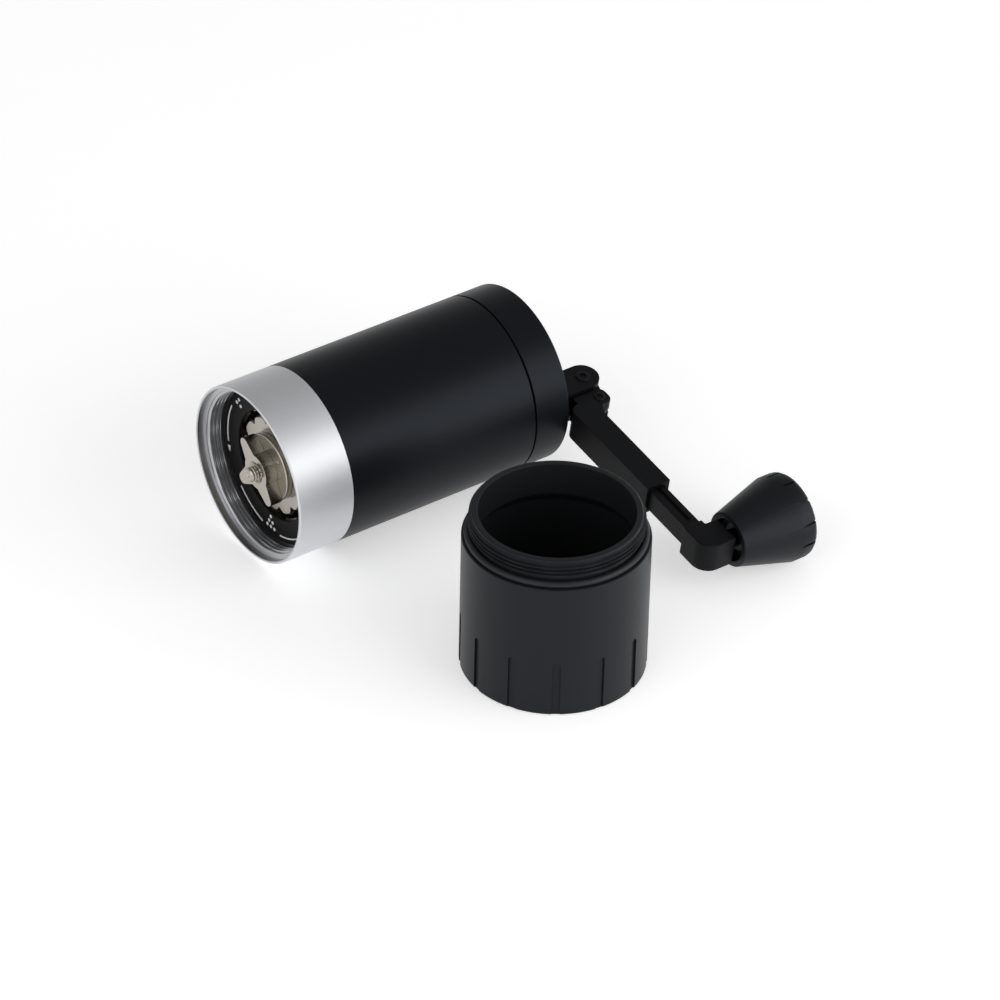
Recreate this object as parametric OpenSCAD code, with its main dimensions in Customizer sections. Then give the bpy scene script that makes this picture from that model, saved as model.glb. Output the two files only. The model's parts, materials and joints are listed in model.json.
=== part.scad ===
// Hand crank coffee grinder: a round grinding body lying on its side with its folding
// crank and knob, and the receiver cup standing beside it.
// The grinding body is drawn standing on its open burr end, along +Z, and is then laid
// along +X. The origin is the centre of the cup's base, with +Z up.

/* [Layout] */
// How far the cup's centre lies from the burr end, along the body
cup_along = 48; // [32:1:60]
// How far the cup's centre lies from the body's axis, across it
cup_across = 100; // [75:1:140]

/* [Body] */
// Outer diameter of the collar, tube and lid
body_d = 60; // [59:0.5:70]
// Length of the bare metal collar
collar_len = 20.5; // [18:0.5:28]
// Length of the black tube
tube_len = 71; // [66:1:110]
// Wall of the black tube
tube_wall = 2.5; // [1.5:0.1:2.8]
// Length of the collar's spigot inside the tube
spigot_len = 7; // [4:0.5:12]
// Wall of the collar's spigot inside the tube
spigot_wall = 2.5; // [1.6:0.1:2.8]
// Wall of the collar's lip around the seal
lip_wall = 1; // [0.6:0.1:1.6]
// Rounding of the outer edges of collar and lid
edge_r = 0.8; // [0.3:0.1:1.4]

/* [Dial] */
// Depth of the dial plate below the lip
dial_depth = 9; // [8.6:0.1:10.5]
// Thickness of the dial plate
dial_t = 1.6; // [1:0.1:2.4]
// Height of the printed marks
mark_t = 0.15; // [0.1:0.05:0.3]
// Width of the printed arcs
mark_w = 0.5; // [0.4:0.1:1.2]

/* [Burrs] */
// Height of the outer burr
burr_h = 20; // [16:0.5:24]
// Thickness of the outer burr's wall at its base
burr_wall = 4; // [3.4:0.1:4.6]
// Wall of the carrier around the outer burr
carrier_wall = 2.4; // [1.6:0.1:2.6]
// Number of lobes on the inner burr
burr_lobes = 12; // [8:1:16]
// Depth of the burrs' lobes
lobe_depth = 1.6; // [0.8:0.1:2]

/* [Shaft] */
// Diameter of the drive shaft
shaft_d = 8; // [7:0.1:8.4]
// Diameter of the shaft's threaded end
screw_d = 5.2; // [5:0.1:6.4]
// Pitch of the shaft's thread
screw_pitch = 1; // [0.75:0.25:1.5]
// Width of the drive hexagon across its flats
hex_af = 6.4; // [5:0.1:6.8]
// Depth of the shaft's tip below the lip
tip_depth = 0.4; // [0.2:0.1:2.5]
// Outer diameter of the ball bearings
bearing_d = 16; // [15:0.5:18]
// Width of the ball bearings
bearing_w = 5; // [4:0.5:6]
// Running clearance on each radius
run = 0.05; // [0.02:0.01:0.08]

/* [Adjusting nut] */
// Diameter over the nut's wings
nut_d = 23.6; // [20:0.2:26]
// Thickness of the nut
nut_t = 4.4; // [3.6:0.2:6]
// Number of wings on the nut
nut_wings = 3; // [2:1:4]
// Thickness of the click disc behind the nut
click_t = 2.2; // [1:0.1:2.6]

/* [Bridge] */
// Height of the upper bearing bridge above the lip
bridge_z = 71; // [62:1:76]
// Height of the bridge's arms
bridge_h = 6; // [5:0.5:8]
// Width of the arms on both bridges
arm_w = 6; // [4:0.5:8]

/* [Lid] */
// Length of the lid outside the tube
lid_len = 12.9; // [12:0.1:18]
// Visible gap between tube and lid
lid_gap = 0.6; // [0.3:0.1:1]
// Thickness of the lid's top
lid_top = 3.2; // [2.4:0.1:4]
// Length of the lid's spigot inside the tube
lid_spigot = 6; // [5:0.5:8]
// Radial clearance of the lid's spigot
lid_fit = 0.3; // [0.2:0.05:0.4]

/* [Crank] */
// Distance from the body's axis to the knob's axis
crank_r = 98; // [94:0.5:112]
// Distance from the body's axis to the fold pin
pin_r = 17.9; // [17:0.1:19]
// Height of the fold pin above the lid
pin_rise = 13.5; // [13:0.1:15]
// Diameter of the fold pin
pin_d = 3.2; // [2.6:0.1:3.6]
// Width of the yoke's ears
ear_w = 11; // [10:0.2:11.4]
// Thickness of each ear
ear_t = 2.4; // [1.8:0.1:3]
// Thickness of the tongue between the ears
tongue_t = 6.8; // [5:0.1:7.2]
// Distance from the fold pin to the clamp screw
clamp_r = 9.6; // [9.2:0.1:11]

/* [Arm] */
// Width of the arm's sleeve along the body's axis
sleeve_w = 9; // [8.6:0.1:9.4]
// Height of the sleeve across the crank's plane
sleeve_h = 11; // [10.4:0.1:12]
// Gap between the lid's top and the sleeve
sleeve_gap = 1; // [0.6:0.1:1.4]
// Distance from the body's axis to the sleeve's open end
sleeve_end = 71; // [66:0.5:73]
// Width of the slider bar
bar_w = 5.8; // [4.8:0.1:6.2]
// Height of the slider bar
bar_h = 7.8; // [6.4:0.1:8.2]
// Clearance of the slider bar in the sleeve
bar_fit = 0.1; // [0.05:0.01:0.15]
// Length of the slider bar inside the sleeve
bar_hold = 22; // [20:0.5:22]
// Width of the elbow's two legs
elbow_w = 10.4; // [10:0.1:11]
// Height of the elbow across the crank's plane
elbow_h = 11.4; // [10:0.1:12.4]

/* [Knob] */
// Largest diameter of the knob
knob_d = 29; // [26:0.5:31]
// Diameter of the knob's small end
knob_small_d = 18.4; // [16:0.2:20]
// Length of the knob's cone
knob_cone = 19.5; // [16:0.5:24]
// Length of the knob's band
knob_band = 6.5; // [5:0.5:9]
// Number of grooves around the band
knob_grooves = 12; // [8:1:16]
// Diameter of the knob's spindle
spindle_d = 6; // [5:0.1:7]

/* [Cup] */
// Height of the cup's shoulder
cup_h = 48; // [40:0.5:60]
// Height of the threaded neck above the shoulder
neck_h = 9; // [8:0.1:9.5]
// Step of the cup's side inside the body's diameter
cup_step = 0.5; // [0:0.1:1]
// Wall of the cup's side
cup_wall = 2.4; // [1.6:0.1:3]
// Wall of the cup's neck
neck_wall = 2.1; // [1.6:0.1:2.6]
// Thickness of the cup's floor
cup_floor = 3; // [2:0.1:5]
// Number of grip grooves
grip_n = 13; // [8:1:18]
// Height of the grip grooves
grip_h = 20; // [10:1:30]
// Width of the grip grooves
grip_w = 2.6; // [1.5:0.1:4]
// Depth of the grip grooves
grip_depth = 0.7; // [0.3:0.1:1]

/* [Threads and seals] */
// Pitch of the cup's thread
thread_pitch = 1.4; // [1.2:0.1:1.5]
// Turns of the cup's thread
thread_turns = 4; // [3:1:4]
// Depth of the cup's thread
thread_depth = 0.9; // [0.5:0.1:1]
// Radial gap between the two threads
thread_gap = 0.3; // [0.2:0.05:0.4]
// Diameter of the cup's seal cord
seal_d = 2.2; // [1.8:0.1:2.4]
// Diameter of the lid's seal cord
lid_seal_d = 1.8; // [1.4:0.1:2.2]

/* [Hidden] */
$fn = 96;
eps = 0.01;
cut = 1;

// Body, from the lip upwards
body_r = body_d / 2;
tube_top = collar_len + tube_len;
tube_r = body_r - tube_wall;
push_fit = 0.05;

// Cup thread, seal and collar mouth
mouth_r = body_r - lip_wall;
seal_fit = 0.2;
neck_r = mouth_r - seal_fit - seal_d;
mouth_depth = seal_d + seal_fit;
collar_crest_r = neck_r + thread_gap;
collar_root_r = neck_r + thread_depth + thread_gap;
crest_share = 0.2;

// Dial plate and burrs
dial_back = dial_depth + dial_t;
dial_r = collar_crest_r - seal_fit;
hole_gap = 0.7;
throat_gap = 0.5;
grind_gap = 0.3;
carrier_r = tube_r - 2 * push_fit - spigot_wall;
outer_burr_r = carrier_r - carrier_wall;
burr_r = outer_burr_r - burr_wall - throat_gap;
dial_hole_r = burr_r + hole_gap;
throat_share = 0.76;
burr_sink = 0.6;
burr_base = dial_depth + burr_sink;
burr_top = dial_back + burr_h;
base_gap = 1.2;
burr_base_r = burr_r - base_gap;
notch_w = 3;
burr_twist = 40;
burr_slices = 10;
lobe_points = 6;
nut_gap = 0.1;
nut_turn = 138;
wing_step = 90;
nut_hub_r = 6;
wing_root_r = 4.2;
wing_tip_r = 2;
click_rim = 0.4;
click_dimples = 4;
click_dimple_r = 0.7;
click_dimple_in = 3;

// Shaft, bearings and bridges
shaft_r = shaft_d / 2;
screw_r = screw_d / 2;
thread_cut = 0.3;
bearing_r = bearing_d / 2;
race_t = 1.1;
ball_n = 9;
ball_gap = 0.02;
seat_lip = 1;
boss_wall = 3;
boss_r = bearing_r + boss_wall;
spring_space = 4;
spring_wire = 1;
spring_turns = 3;
lower_z = burr_top + spring_space;
carrier_top = lower_z + bearing_w + seat_lip;
carrier_lip = 2.6;
ring_wall = 2;
arm_n = 3;
upper_z = bridge_z + bridge_h - bearing_w;
clip_t = 1;
clip_rim = 1.6;
clip_r = shaft_r + clip_rim;
clip_slot = 2;

// Lid
lid_base = tube_top + lid_gap;
lid_z = lid_base + lid_len;
lid_plug_r = tube_r - lid_fit;
lid_plug_wall = 3;
lid_bore = lid_plug_r - lid_plug_wall;
hub_r = 6.5;
bush_wall = 1.6;
bush_flange = 1.4;
bush_drop = 1.4;
lid_groove = 0.6;
lid_seal_land = 1.6;
lid_seal_z = tube_top - lid_spigot + lid_seal_land;

// Crank, in a frame with X along the arm, Z along the body's axis
droop = asin((body_r - knob_d / 2) / crank_r);
hub_gap = 0.5;
hub_base = lid_z + hub_gap;
hub_plate = 5;
hub_disc_r = 11.5;
pin_z = lid_z + pin_rise;
tongue_fit = 0.2;
ear_in = tongue_t / 2 + tongue_fit;
ear_out = ear_in + ear_t;
hex_r = hex_af / 2 / cos(30);
hex_fit = 0.1;
hex_drop = 3;
hex_rise = 1;
hex_top = lid_z - hex_drop;
hex_base = tube_top + hex_rise;
socket_roof = 1.5;
pin_head_rim = 1.1;
clamp_head_rim = 0.7;
pin_head_r = pin_d / 2 + pin_head_rim;
pin_head_t = 0.9;
drive_hole_r = 0.9;
drive_hole_depth = 0.6;
tongue_inset = 0.4;
tongue_step = 2;
tongue_r = ear_w / 2 - tongue_inset;
knuckle_gap = 0.6;
knuckle_rim = 3.4;
knuckle_start = pin_r + ear_w / 2 + knuckle_gap;
knuckle_end = pin_r + clamp_r + knuckle_rim;
knuckle_t = 9.6;
knuckle_top = 3.2;
knuckle_run = 4;
knuckle_root = 3;
knuckle_chin = 2.5;
slot_t = 2;
leaf_t = 1.6;
leaf_inset = 0.4;
sleeve_z = lid_z + sleeve_gap;
leaf_rise = 1;
leaf_z = sleeve_z + sleeve_w + leaf_rise;
sleeve_inset = 3.6;
sleeve_start = knuckle_start + sleeve_inset;
sleeve_corner = 3.5;
sleeve_wall = 1.2;
pocket_z = sleeve_z + sleeve_wall;
pocket_inset = 4;
pocket_start = sleeve_start + pocket_inset;
bar_z = pocket_z + bar_fit;
bar_groove_w = 1.4;
bar_groove_depth = 0.8;
bar_start = sleeve_end - bar_hold;
bar_seat = 2;
elbow_start = crank_r - elbow_w / 2 - bar_seat;
elbow_drop = 0.4;
elbow_z = sleeve_z - elbow_drop;
elbow_inner_w = 7.2;
elbow_rise = 12;
elbow_top = elbow_z + elbow_rise;
elbow_corner = 6;
knob_gap = 1.2;
knob_z = elbow_top + knob_gap;
knob_kink = knob_z + knob_cone;
knob_end = knob_kink + knob_band;
knob_r = knob_d / 2;
knob_small_r = knob_small_d / 2;
knob_round = 2.4;
knob_mouth_depth = 4;
knob_mouth_wall = 2;
knob_cap_t = 1.4;
knob_rim = 1;
knob_cap_r = knob_r - knob_round - knob_rim;
cap_ledge = 1.5;
knob_groove_w = 0.9;
knob_groove_depth = 0.6;
spindle_r = spindle_d / 2;
spindle_drop = 2.6;
spindle_end = knob_end - knob_cap_t - spindle_drop;
spindle_ring = 1.5;
screw_head_rim = 1.4;
knob_bush_wall = 1.6;
screw_head_t = 1.4;
spindle_hold = 7;

// Cup
cup_r = body_r - cup_step;
cup_top = cup_h + neck_h;
cup_inner_r = cup_r - cup_wall;
cup_mouth_r = neck_r - neck_wall;
cup_taper = 4;
cup_chamfer = 0.8;
cup_thread_start = cup_h + seal_d + 0.5;
rim_round = 0.5;

// Dial marks: each group is [middle angle, number of rows of dots], and each arc
// runs between two angles, seen from the open end and counted from the cup's side
dot_groups = [[142, 2], [270, 3], [26, 1]];
mark_arcs = [[154, 190], [226, 259], [282, 318], [340, 14], [46, 92]];
arrow_angles = [196];
mark_inset = 2;
mark_r = dial_r - mark_inset;
dot_r = 0.6;
dot_inset = 1;
dot_margin = 0.45;
dot_pitch = (mark_r - dot_inset - dot_r - dial_hole_r - dot_margin) / 2;
arrow_len = 2.2;

// The body lies along +X beside the cup
module lay() translate([-cup_along, cup_across, body_r]) rotate([0, 90, 0]) children();

// The crank's own frame: X along the arm, Y across its plane, Z along the body's axis
module crank_frame()
    translate([-cup_along, cup_across, body_r])
        rotate([droop - 90, 0, 0])
            rotate([0, 90, 0])
                children();

// The knob's own frame, on the knob's axis
module knob_frame() crank_frame() translate([crank_r, 0, 0]) children();

// Angle on the dial, counted from the cup's side and seen from the open end
function dial_turn(a) = -90 - a;

// A plain ring between two radii and two heights
module ring(r_out, r_in, z0, z1)
    translate([0, 0, z0])
        difference() {
            cylinder(r = r_out, h = z1 - z0);
            translate([0, 0, -cut]) cylinder(r = r_in, h = z1 - z0 + 2 * cut);
        }

// A turned solid from [radius, height] points
module turned(points) rotate_extrude() polygon(points);

// Points of one thread flank row: from z0, with n turns of pitch p, between root and crest
function thread_points(root, crest, z0, p, n) = [
    for (i = [0 : n - 1])
        for (q = [[root, 0], [crest, 0.5 - crest_share], [crest, 0.5], [root, 1 - crest_share]])
            [q[0], z0 + (i + q[1]) * p]
];

// A bearing race pair's parts, with its lower face at z
module outer_race(z) ring(bearing_r, bearing_r - race_t, z, z + bearing_w);
module inner_race(z) ring(shaft_r + race_t, shaft_r, z, z + bearing_w);
module ball_row(z) {
    ball_r = (bearing_r - shaft_r - 2 * race_t) / 2 - ball_gap;
    for (i = [0 : ball_n - 1])
        rotate([0, 0, i * 360 / ball_n])
            translate([(bearing_r + shaft_r) / 2, 0, z + bearing_w / 2])
                sphere(r = ball_r, $fn = 32);
}

// A three-armed bridge with a bearing seat that opens downwards
module bridge(r_out, z0, z1, seat_z) {
    difference() {
        union() {
            ring(r_out, r_out - ring_wall, z0, z1);
            translate([0, 0, z0]) cylinder(r = boss_r, h = z1 - z0);
            for (i = [0 : arm_n - 1])
                rotate([0, 0, i * 360 / arm_n])
                    translate([0, -arm_w / 2, z0])
                        cube([r_out - ring_wall / 2, arm_w, z1 - z0]);
        }
        translate([0, 0, seat_z]) cylinder(r = bearing_r, h = bearing_w);
        translate([0, 0, z0 - cut]) cylinder(r = bearing_r - race_t, h = z1 - z0 + 2 * cut);
        if (seat_z - z0 < z1 - seat_z - bearing_w)
            translate([0, 0, z0 - cut]) cylinder(r = bearing_r, h = seat_z - z0 + cut);
        else
            translate([0, 0, seat_z]) cylinder(r = bearing_r, h = z1 - seat_z + cut);
    }
}

module body_tube() color("#15171c") lay() ring(body_r, tube_r, collar_len, tube_top);

module collar_ring() color("#c9cbcf") lay() {
    thread_z = mouth_depth + 0.3;
    turned(concat(
        [[mouth_r, 0], [mouth_r, mouth_depth], [collar_root_r, thread_z]],
        thread_points(collar_root_r, collar_crest_r, thread_z, thread_pitch, thread_turns),
        [[collar_root_r, dial_depth], [collar_root_r, dial_back],
        [carrier_r + push_fit, dial_back],
        [carrier_r + push_fit, collar_len + spigot_len],
        [tube_r - push_fit, collar_len + spigot_len], [tube_r - push_fit, collar_len],
        [body_r, collar_len], [body_r, edge_r], [body_r - edge_r / 2, 0]]));
}

module dial_plate() color("#1b1c1f") lay() ring(dial_r, dial_hole_r, dial_depth, dial_back);

// A printed arc between two dial angles
module mark_arc(a0, a1) {
    sweep = (a1 - a0 + 360) % 360;
    rotate([0, 0, dial_turn(a1)])
        rotate_extrude(angle = sweep)
            translate([mark_r - mark_w / 2, 0])
                square([mark_w, mark_t]);
}

// A pyramid of dots, one more in each row towards the rim
module dot_pyramid(rows)
    for (row = [0 : rows - 1])
        for (i = [0 : row])
            translate([mark_r - dot_inset + (row - rows + 1) * dot_pitch, (i - row / 2) * dot_pitch, 0])
                cylinder(r = dot_r, h = mark_t, $fn = 24);

module dial_marks() color("#e8e8e4") lay() translate([0, 0, dial_depth - mark_t]) {
    for (a = mark_arcs) mark_arc(a[0], a[1]);
    for (g = dot_groups) rotate([0, 0, dial_turn(g[0])]) dot_pyramid(g[1]);
    for (a = arrow_angles)
        rotate([0, 0, dial_turn(a)])
            linear_extrude(mark_t)
                polygon([[mark_r, -arrow_len / 2], [mark_r - mark_w * 1.6, arrow_len / 2],
                    [mark_r + mark_w * 1.6, arrow_len / 2]]);
}

module burr_carrier() color("#2b2c2f") lay() {
    ring(carrier_r, outer_burr_r + push_fit, dial_back, burr_top);
    ring(carrier_r, outer_burr_r - carrier_lip, burr_top, lower_z);
    bridge(carrier_r, lower_z - eps, carrier_top, lower_z);
}

module outer_burr() color("#a8a49c") lay()
    difference() {
        turned([[burr_r + grind_gap, dial_back], [outer_burr_r, dial_back],
            [outer_burr_r, burr_top], [burr_r * throat_share, burr_top]]);
        for (i = [0 : burr_lobes - 1])
            rotate([0, 0, (i + 0.5) * 360 / burr_lobes])
                translate([burr_r - lobe_depth, -notch_w / 2, dial_back - cut])
                    cube([2 * lobe_depth, notch_w, burr_h / 2]);
    }

module upper_bridge() color("#2b2c2f") lay()
    bridge(tube_r - push_fit, bridge_z, bridge_z + bridge_h, upper_z);

module upper_bearing_outer() color("#b8bcc0") lay() outer_race(upper_z);
module upper_bearing_balls() color("#d0d3d6") lay() ball_row(upper_z);
module upper_bearing_inner() color("#b8bcc0") lay() inner_race(upper_z);
module lower_bearing_outer() color("#b8bcc0") lay() outer_race(lower_z);
module lower_bearing_balls() color("#d0d3d6") lay() ball_row(lower_z);
module lower_bearing_inner() color("#b8bcc0") lay() inner_race(lower_z);

module drive_shaft() color("#9c9a94") lay() {
    turns = floor((burr_base - tip_depth - 1) / screw_pitch);
    difference() {
        union() {
            turned(concat([[0, tip_depth], [screw_r - thread_cut, tip_depth]],
                thread_points(screw_r - thread_cut, screw_r, tip_depth, screw_pitch, turns),
                [[screw_r - thread_cut, burr_base], [shaft_r, burr_base],
                [shaft_r, hex_base], [0, hex_base]]));
            translate([0, 0, hex_base - eps])
                rotate([0, 0, droop - 90])
                    cylinder(r = hex_r, h = hex_top - hex_base + eps, $fn = 6);
        }
        ring(shaft_r + cut, shaft_r - clip_slot / 4, upper_z + bearing_w,
            upper_z + bearing_w + clip_t);
    }
}

module shaft_clip() color("#3a3b3d") lay()
    difference() {
        ring(clip_r, shaft_r - clip_slot / 4, upper_z + bearing_w, upper_z + bearing_w + clip_t);
        translate([0, -clip_slot / 2, upper_z + bearing_w - cut])
            cube([clip_r + cut, clip_slot, clip_t + 2 * cut]);
    }

// The spring's turns, each a round ring between the inner burr and the lower bearing
module burr_spring() color("#b0aea8") lay()
    for (i = [0 : spring_turns - 1])
        translate([0, 0, burr_top + spring_wire / 2
            + i * (spring_space - spring_wire) / (spring_turns - 1)])
            rotate_extrude()
                translate([shaft_r + spring_wire, 0])
                    circle(r = spring_wire / 2 * 0.96, $fn = 24);

// Outline of the inner burr's base: round with a scallop between each pair of lobes
function burr_outline(r) = [
    for (i = [0 : burr_lobes * lobe_points - 1])
        let (a = i * 360 / (burr_lobes * lobe_points),
            q = r - lobe_depth * pow(sin(a * burr_lobes / 2), 8))
            [q * cos(a), q * sin(a)]
];

module inner_burr() color("#aaa69e") lay()
    difference() {
        translate([0, 0, burr_base])
            linear_extrude(height = burr_top - burr_base, twist = burr_twist,
                slices = burr_slices, scale = throat_share * 0.8)
                polygon(burr_outline(burr_base_r));
        translate([0, 0, burr_base - cut]) cylinder(r = shaft_r + run, h = burr_h + 2 * cut);
    }

module click_disc() color("#8f8c86") lay() {
    click_r = nut_d / 2 - click_rim;
    difference() {
        ring(click_r, screw_r + run, burr_base - click_t + nut_gap, burr_base);
        for (i = [0 : click_dimples - 1])
            rotate([0, 0, nut_turn + i * 360 / click_dimples])
                translate([click_r - click_dimple_in, 0, burr_base - click_t])
                    cylinder(r = click_dimple_r, h = click_t / 3, $fn = 16);
    }
}

// Points of an arc about a centre between two angles
function sweep(centre, r, from, to, steps) = [
    for (i = [0 : steps])
        let (a = from + (to - from) * i / steps) centre + r * [cos(a), sin(a)]
];

// Outline of the nut: a round hub with wings whose flanks draw in to a round tip
module nut_outline() {
    wing_out = nut_d / 2 - wing_tip_r;
    flank = acos((wing_root_r - wing_tip_r) / wing_out);
    foot = flank - acos(wing_root_r / nut_hub_r);
    polygon([
        for (i = [nut_wings - 1 : -1 : 0])
            let (a = nut_turn - i * wing_step,
                turn = i == 0 ? 360 - wing_step * (nut_wings - 1) : wing_step)
                each concat(
                    sweep(wing_out * [cos(a), sin(a)], wing_tip_r, a - flank, a + flank, 10),
                    sweep([0, 0], nut_hub_r, a + foot, a + turn - foot, 12))
    ]);
}

module adjusting_nut() color("#a9a59b") lay() {
    nut_front = burr_base - click_t + nut_gap - nut_t;
    difference() {
        translate([0, 0, nut_front]) linear_extrude(nut_t) nut_outline();
        translate([0, 0, nut_front - cut])
            cylinder(r = screw_r + run, h = nut_t + 2 * cut);
    }
}

module lid_shell() color("#15171c") lay()
    difference() {
        turned([[lid_bore, tube_top - lid_spigot], [lid_plug_r, tube_top - lid_spigot],
            [lid_plug_r, lid_base], [body_r, lid_base], [body_r, lid_z - edge_r],
            [body_r - edge_r, lid_z], [hub_r + bush_wall, lid_z],
            [hub_r + bush_wall, lid_z - lid_top], [lid_bore, lid_z - lid_top]]);
        ring(body_r, lid_plug_r - lid_groove, lid_seal_z, lid_seal_z + lid_seal_d);
    }

module lid_seal() color("#303236") lay()
    ring(tube_r - push_fit, lid_plug_r - lid_groove, lid_seal_z, lid_seal_z + lid_seal_d);

module lid_bush() color("#b9a36a") lay() {
    flange_z = lid_z - lid_top - bush_drop;
    ring(hub_r + bush_wall, hub_r + run, flange_z, lid_z);
    ring(hub_r + bush_wall + bush_flange, hub_r + bush_wall, flange_z, flange_z + bush_drop);
}

// One ear of the yoke, as a flat plate with a round end about the fold pin
module ear_plate(y0)
    translate([0, y0 + ear_t, 0])
        rotate([90, 0, 0])
            linear_extrude(ear_t) {
                translate([pin_r, pin_z]) circle(r = ear_w / 2);
                translate([pin_r - ear_w / 2, hub_base]) square([ear_w, pin_z - hub_base]);
            }

module crank_hub() color("#151517") crank_frame()
    difference() {
        union() {
            translate([0, 0, hex_base + 1]) cylinder(r = hub_r, h = hub_base - hex_base);
            translate([0, 0, hub_base]) cylinder(r = hub_disc_r, h = hub_plate);
            translate([0, -ear_out, hub_base])
                cube([pin_r + ear_w / 2, 2 * ear_out, hub_plate]);
            ear_plate(ear_in);
            ear_plate(-ear_out);
        }
        translate([0, 0, hex_base])
            cylinder(r = hex_r + hex_fit, h = hex_top + socket_roof - hex_base, $fn = 6);
        translate([pin_r, ear_out + cut, pin_z])
            rotate([90, 0, 0])
                cylinder(r = pin_d / 2, h = 2 * (ear_out + cut));
    }

module hub_clip() color("#3a3b3d") crank_frame() {
    clip_z = lid_z - lid_top - bush_drop - clip_t - 0.1;
    ring(hub_r + clip_slot, hub_r, clip_z, clip_z + clip_t);
}

// A cross pin with a drive recess in each head
module cross_pin(x, half, head_r)
    difference() {
        union() {
            translate([x, half, pin_z]) rotate([90, 0, 0]) cylinder(r = pin_d / 2, h = 2 * half);
            for (side = [-1, 1])
                translate([x, side > 0 ? half + pin_head_t : -half, pin_z])
                    rotate([90, 0, 0])
                        cylinder(r = head_r, h = pin_head_t);
        }
        for (side = [-1, 1])
            translate([x, side * (half + pin_head_t) + drive_hole_depth, pin_z])
                rotate([90, 0, 0])
                    cylinder(r = drive_hole_r, h = 2 * drive_hole_depth, $fn = 6);
    }

module fold_pin() color("#5a5b5e") crank_frame() cross_pin(pin_r, ear_out, pin_head_r);

module crank_sleeve() color("#17181a") crank_frame()
    difference() {
        union() {
            translate([0, tongue_t / 2, 0])
                rotate([90, 0, 0])
                    linear_extrude(tongue_t) {
                        translate([pin_r, pin_z]) circle(r = tongue_r);
                        translate([pin_r, pin_z - tongue_r])
                            square([knuckle_start - pin_r + eps, 2 * tongue_r - tongue_step]);
                    }
            translate([0, knuckle_t / 2, 0])
                rotate([90, 0, 0])
                    linear_extrude(knuckle_t)
                        polygon([[knuckle_start, pocket_z + knuckle_root],
                            [knuckle_end + knuckle_run, pocket_z + knuckle_root],
                            [knuckle_end + knuckle_run, sleeve_z + sleeve_w],
                            [knuckle_end, sleeve_z + sleeve_w + knuckle_chin],
                            [knuckle_end, pin_z + knuckle_top],
                            [knuckle_start, pin_z + knuckle_top]]);
            translate([0, sleeve_h / 2, 0])
                rotate([90, 0, 0])
                    linear_extrude(sleeve_h) {
                        translate([sleeve_start + sleeve_corner, sleeve_z])
                            square([sleeve_end - sleeve_start - sleeve_corner, sleeve_w]);
                        translate([sleeve_start, sleeve_z + sleeve_corner])
                            square([sleeve_corner + eps, sleeve_w - sleeve_corner]);
                        translate([sleeve_start + sleeve_corner, sleeve_z + sleeve_corner])
                            circle(r = sleeve_corner);
                    }
        }
        translate([pocket_start, -bar_h / 2 - bar_fit, pocket_z])
            cube([sleeve_end, bar_h + 2 * bar_fit, bar_w + 2 * bar_fit]);
        translate([knuckle_start + leaf_inset, -slot_t / 2, leaf_z])
            cube([clamp_r + sleeve_w, slot_t, sleeve_w * 2]);
        translate([pin_r, knuckle_t, pin_z])
            rotate([90, 0, 0])
                cylinder(r = pin_d / 2 + run, h = 2 * knuckle_t);
        translate([pin_r + clamp_r, knuckle_t, pin_z])
            rotate([90, 0, 0])
                cylinder(r = pin_d / 2, h = 2 * knuckle_t);
    }

module detent_leaf() color("#8d8f92") crank_frame()
    difference() {
        translate([knuckle_start + leaf_inset, -leaf_t / 2, leaf_z])
            cube([knuckle_end - knuckle_start - 2 * leaf_inset, leaf_t,
                pin_z + knuckle_top - leaf_z - leaf_inset]);
        translate([pin_r + clamp_r, knuckle_t, pin_z])
            rotate([90, 0, 0])
                cylinder(r = pin_d / 2, h = 2 * knuckle_t);
    }

module clamp_screw() color("#5a5b5e") crank_frame()
    cross_pin(pin_r + clamp_r, knuckle_t / 2, pin_d / 2 + clamp_head_rim);

module slider_bar() color("#1b1c1e") crank_frame()
    difference() {
        translate([bar_start, -bar_h / 2, bar_z])
            cube([elbow_start - bar_start + bar_seat, bar_h, bar_w]);
        for (side = [-1, 1])
            translate([bar_start - cut, side * bar_h / 2 - bar_groove_depth,
                bar_z + (bar_w - bar_groove_w) / 2])
                cube([elbow_start - bar_start + cut, 2 * bar_groove_depth, bar_groove_w]);
    }

module elbow_block() color("#1b1c1e") crank_frame()
    difference() {
        translate([0, elbow_h / 2, 0])
            rotate([90, 0, 0])
                linear_extrude(elbow_h) {
                    translate([elbow_start, elbow_z])
                        square([crank_r + elbow_w / 2 - elbow_corner - elbow_start,
                            elbow_inner_w]);
                    translate([crank_r - elbow_w / 2, elbow_z + elbow_corner])
                        square([elbow_w, elbow_top - elbow_z - elbow_corner]);
                    translate([crank_r + elbow_w / 2 - elbow_corner, elbow_z + elbow_corner])
                        circle(r = elbow_corner);
                }
        translate([elbow_start - cut, -bar_h / 2, bar_z])
            cube([bar_seat + cut, bar_h, bar_w]);
        translate([crank_r, 0, elbow_top - spindle_hold])
            cylinder(r = spindle_r, h = spindle_hold + cut);
    }

module knob_spindle() color("#8d8f92") knob_frame() {
    translate([0, 0, elbow_top - spindle_hold])
        cylinder(r = spindle_r, h = spindle_end - elbow_top + spindle_hold);
    ring(spindle_r + spindle_ring, spindle_r, elbow_top, elbow_top + knob_gap / 2);
}

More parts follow.
